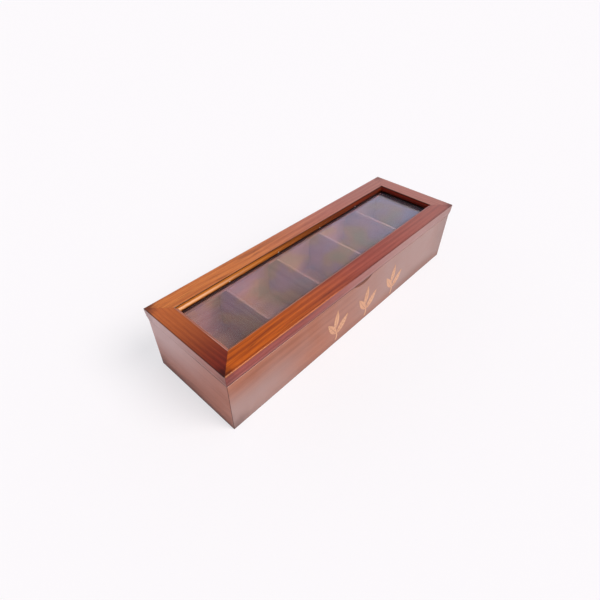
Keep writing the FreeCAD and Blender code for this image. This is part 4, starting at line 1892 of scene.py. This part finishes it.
@dataclass
class SprigPrint:
    """A row of leaf sprigs printed in the middle of the front.

    leaves_of_sprig holds a leaf's root as a share of the stem's height, its lean in
    radians, its shares of leaf_length and leaf_width, and its bend.
    """

    places: tuple[float, ...] = (-42 * MM, 12 * MM, 66 * MM)
    foot: float = 5 * MM
    stem_top: float = 24 * MM
    stem_width: float = 2.4 * MM
    stem_taper: float = 0.5
    sway: float = 1.6 * MM
    sway_turns: float = 0.8
    leaf_length: float = 27 * MM
    leaf_width: float = 5.4 * MM
    leaves_of_sprig: tuple[tuple[float, float, float, float, float], ...] = (
        (0.52, -0.66, 1.04, 0.74, 1.4 * MM),
        (0.5, 0.8, 0.98, 0.94, -1.6 * MM),
        (0.97, 0.06, 1.0, 0.72, 0.0),
    )
    ink_thickness: float = 0.1 * MM
    step: float = 0.01 * MM
    sunk: float = 0.05 * MM

    def stem_point(self, share: np.ndarray | float) -> tuple[np.ndarray | float, ...]:
        """Middle of the stem, across and up, at a share of its height: a gentle sine."""
        across = self.sway * np.sin(2 * math.pi * self.sway_turns * share)
        return across, self.foot + share * (self.stem_top - self.foot)

    def leaves(self) -> list[Leaf]:
        """Leaves of one sprig: one to each side of the stem, and a slim one at its tip.

        Returns:
            The leaves.
        """
        return [
            Leaf(
                root=self.stem_point(root),
                lean=lean,
                length=length * self.leaf_length,
                width=width * self.leaf_width,
                bend=bend,
            )
            for root, lean, length, width, bend in self.leaves_of_sprig
        ]

    def stem(self) -> np.ndarray:
        """Stem as one patch that swings gently and narrows upwards.

        Returns:
            Array of one patch by rows by columns by 2: across and up.
        """
        share, side = np.meshgrid(np.linspace(0, 1, 13), np.linspace(-1, 1, 3), indexing="ij")
        across, up = self.stem_point(share)
        across = across + side * self.stem_width / 2 * (1 - self.stem_taper * share)
        return np.stack([across, up], axis=-1)[None]

    def build(self) -> None:
        """Build each sprig as a thin raised print on the front's face."""
        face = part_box("front_panel")[0].y
        ink = PrintedInk().material()
        flats = [self.stem()] + [leaf.patches() for leaf in self.leaves()]
        for number, place in enumerate(self.places, start=1):
            parts = []
            for layer, flat in enumerate(flats):
                raised = self.ink_thickness + layer * self.step
                across, up = flat[..., 0] + place, flat[..., 1]
                front = np.stack([across, np.full_like(up, face - raised), up], axis=-1)
                parts.append(slabs(front, np.array([0, raised + self.sunk, 0])))
            piece = mesh_piece(f"leaf_sprig_{number}", *joined(parts), ink)
            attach(piece, "box")
            LOG.info("built %s", piece.name)


# Studio


@dataclass
class SunLamp:
    """Parallel light from one side, softened by the angle that its source spans."""

    name: str
    towards: tuple[float, float, float]
    level: float
    softness: float
    colour: str = "#ffffff"

    def build(self) -> None:
        """Set the lamp up so that white that faces it shows the level."""
        data = bpy.data.lights.new(self.name, "SUN")
        data.energy = self.level * math.pi
        data.angle = math.radians(self.softness)
        data.color = srgb(self.colour)[:3]
        made = bpy.data.objects.new(self.name, data)
        made.rotation_mode = "QUATERNION"
        made.rotation_quaternion = Vector(self.towards).to_track_quat("Z", "Y")
        bpy.context.scene.collection.objects.link(made)


@dataclass
class Studio:
    """White floor, soft lamp, a room that is dim overhead, and the camera.

    The camera's place and turn were solved from the corners of the box in the
    photograph, whose frame is 600 by 600 pixels. evenness is how much of the floor is an
    even white to each kind of ray in white_to, by its share there.
    """

    frame_width: float = 600.0
    focal_pixels: float = 411.6
    optical_centre: tuple[float, float] = (300.9, 301.7)
    camera_place: tuple[float, float, float] = (-298.6 * MM, -235.3 * MM, 343.1 * MM)
    yaw: float = 48.13
    pitch: float = 42.31
    roll: float = 0.98
    sensor: float = 36.0
    nearest: float = 10 * MM
    floor_reach: float = 7.0
    paper: str = "#f8f6fb"
    even_white: str = "#fdfcfe"
    evenness: float = 0.66
    white_to: tuple[tuple[str, float], ...] = (("Camera", 1.0), ("Transmission", 1.0), ("Glossy", 0.3))
    overhead: Colour = (0.11, 0.105, 0.12, 1.0)
    room: tuple[tuple[float, Colour], ...] = (
        (0.0, (0.96, 0.95, 1.0, 1.0)),
        (0.4, (0.92, 0.91, 0.96, 1.0)),
        (0.55, (0.6, 0.59, 0.64, 1.0)),
        (0.76, overhead),
        (1.0, overhead),
    )

    def build_camera(self) -> None:
        """Set up the camera from its yaw, pitch and roll."""
        yaw, pitch, roll = (math.radians(turn) for turn in (self.yaw, self.pitch, self.roll))
        level_part = math.cos(pitch)
        forward = Vector((math.sin(yaw) * level_part, math.cos(yaw) * level_part, -math.sin(pitch)))
        level = forward.cross(Vector((0, 0, 1))).normalized()
        upright = level.cross(forward)
        right = level * math.cos(roll) + upright * math.sin(roll)
        up = upright * math.cos(roll) - level * math.sin(roll)
        data = bpy.data.cameras.new("camera")
        data.sensor_width = self.sensor
        data.lens = self.focal_pixels / self.frame_width * self.sensor
        middle = self.frame_width / 2
        data.shift_x = (middle - self.optical_centre[0]) / self.frame_width
        data.shift_y = (self.optical_centre[1] - middle) / self.frame_width
        data.clip_start = self.nearest
        camera = bpy.data.objects.new("camera", data)
        turn = Matrix((right, up, -forward)).transposed().to_4x4()
        camera.matrix_world = Matrix.Translation(self.camera_place) @ turn
        bpy.context.scene.collection.objects.link(camera)
        bpy.context.scene.camera = camera

    def build_floor(self) -> None:
        """Lay a plain pale floor, which keeps part of the box's shadow.

        What the camera, gloss and glass see of it is mixed with an even white.
        """
        material, graph = ShaderGraph.of_material("floor_paper")
        paper = graph.surface(
            {"Base Color": srgb(self.paper), "Roughness": 0.9, "Specular IOR Level": 0.1}
        )
        even = graph.node("Emission", None, {"Color": srgb(self.even_white), "Strength": 1.0})
        path = graph.node("LightPath").outputs
        seen = sum(Value(graph, path[f"Is {kind} Ray"]) * share for kind, share in self.white_to)
        graph.finish(graph.blend(seen.least(1.0) * self.evenness, paper, even))
        reach = self.floor_reach
        corners = np.array([(-1, -1, 0), (1, -1, 0), (1, 1, 0), (-1, 1, 0)]) * reach
        mesh = bpy.data.meshes.new("floor")
        mesh.from_pydata(corners.tolist(), [], [(0, 1, 2, 3)])
        mesh.materials.append(material)
        floor = bpy.data.objects.new("floor", mesh)
        bpy.context.scene.collection.objects.link(floor)

    def build_room(self) -> None:
        """Light the room: bright at the horizon, dimmer overhead."""
        world = bpy.data.worlds.new("room")
        world.use_nodes = True
        bpy.context.scene.world = world
        graph = ShaderGraph(world.node_tree)
        way = graph.node("TexCoord").outputs["Generated"]
        height = graph.node("SeparateXYZ", None, {"Vector": way}).outputs["Z"]
        colour = graph.ramp(Value(graph, height), list(self.room))
        background = graph.node("Background", None, {"Color": colour, "Strength": 1.0})
        graph.node("OutputWorld", None, {"Surface": background.outputs[0]})

    def build(self) -> None:
        """Set up the whole studio."""
        self.build_camera()
        self.build_floor()
        self.build_room()
        SunLamp(
            name="key_lamp",
            towards=(0.3, -0.62, 0.8),
            level=0.85,
            softness=34.0,
            colour="#fff8f2",
        ).build()


def main() -> None:
    """Build every sub-assembly in order, then the studio."""
    logging.basicConfig(level=logging.INFO, format="%(name)s: %(message)s")
    for part in (Carcass(), LidFrame(), Hinges(), SprigPrint(), Studio()):
        LOG.info("building %s", type(part).__name__)
        part.build()
    bpy.context.scene.view_settings.view_transform = "Standard"


if __name__ == "__main__":
    main()
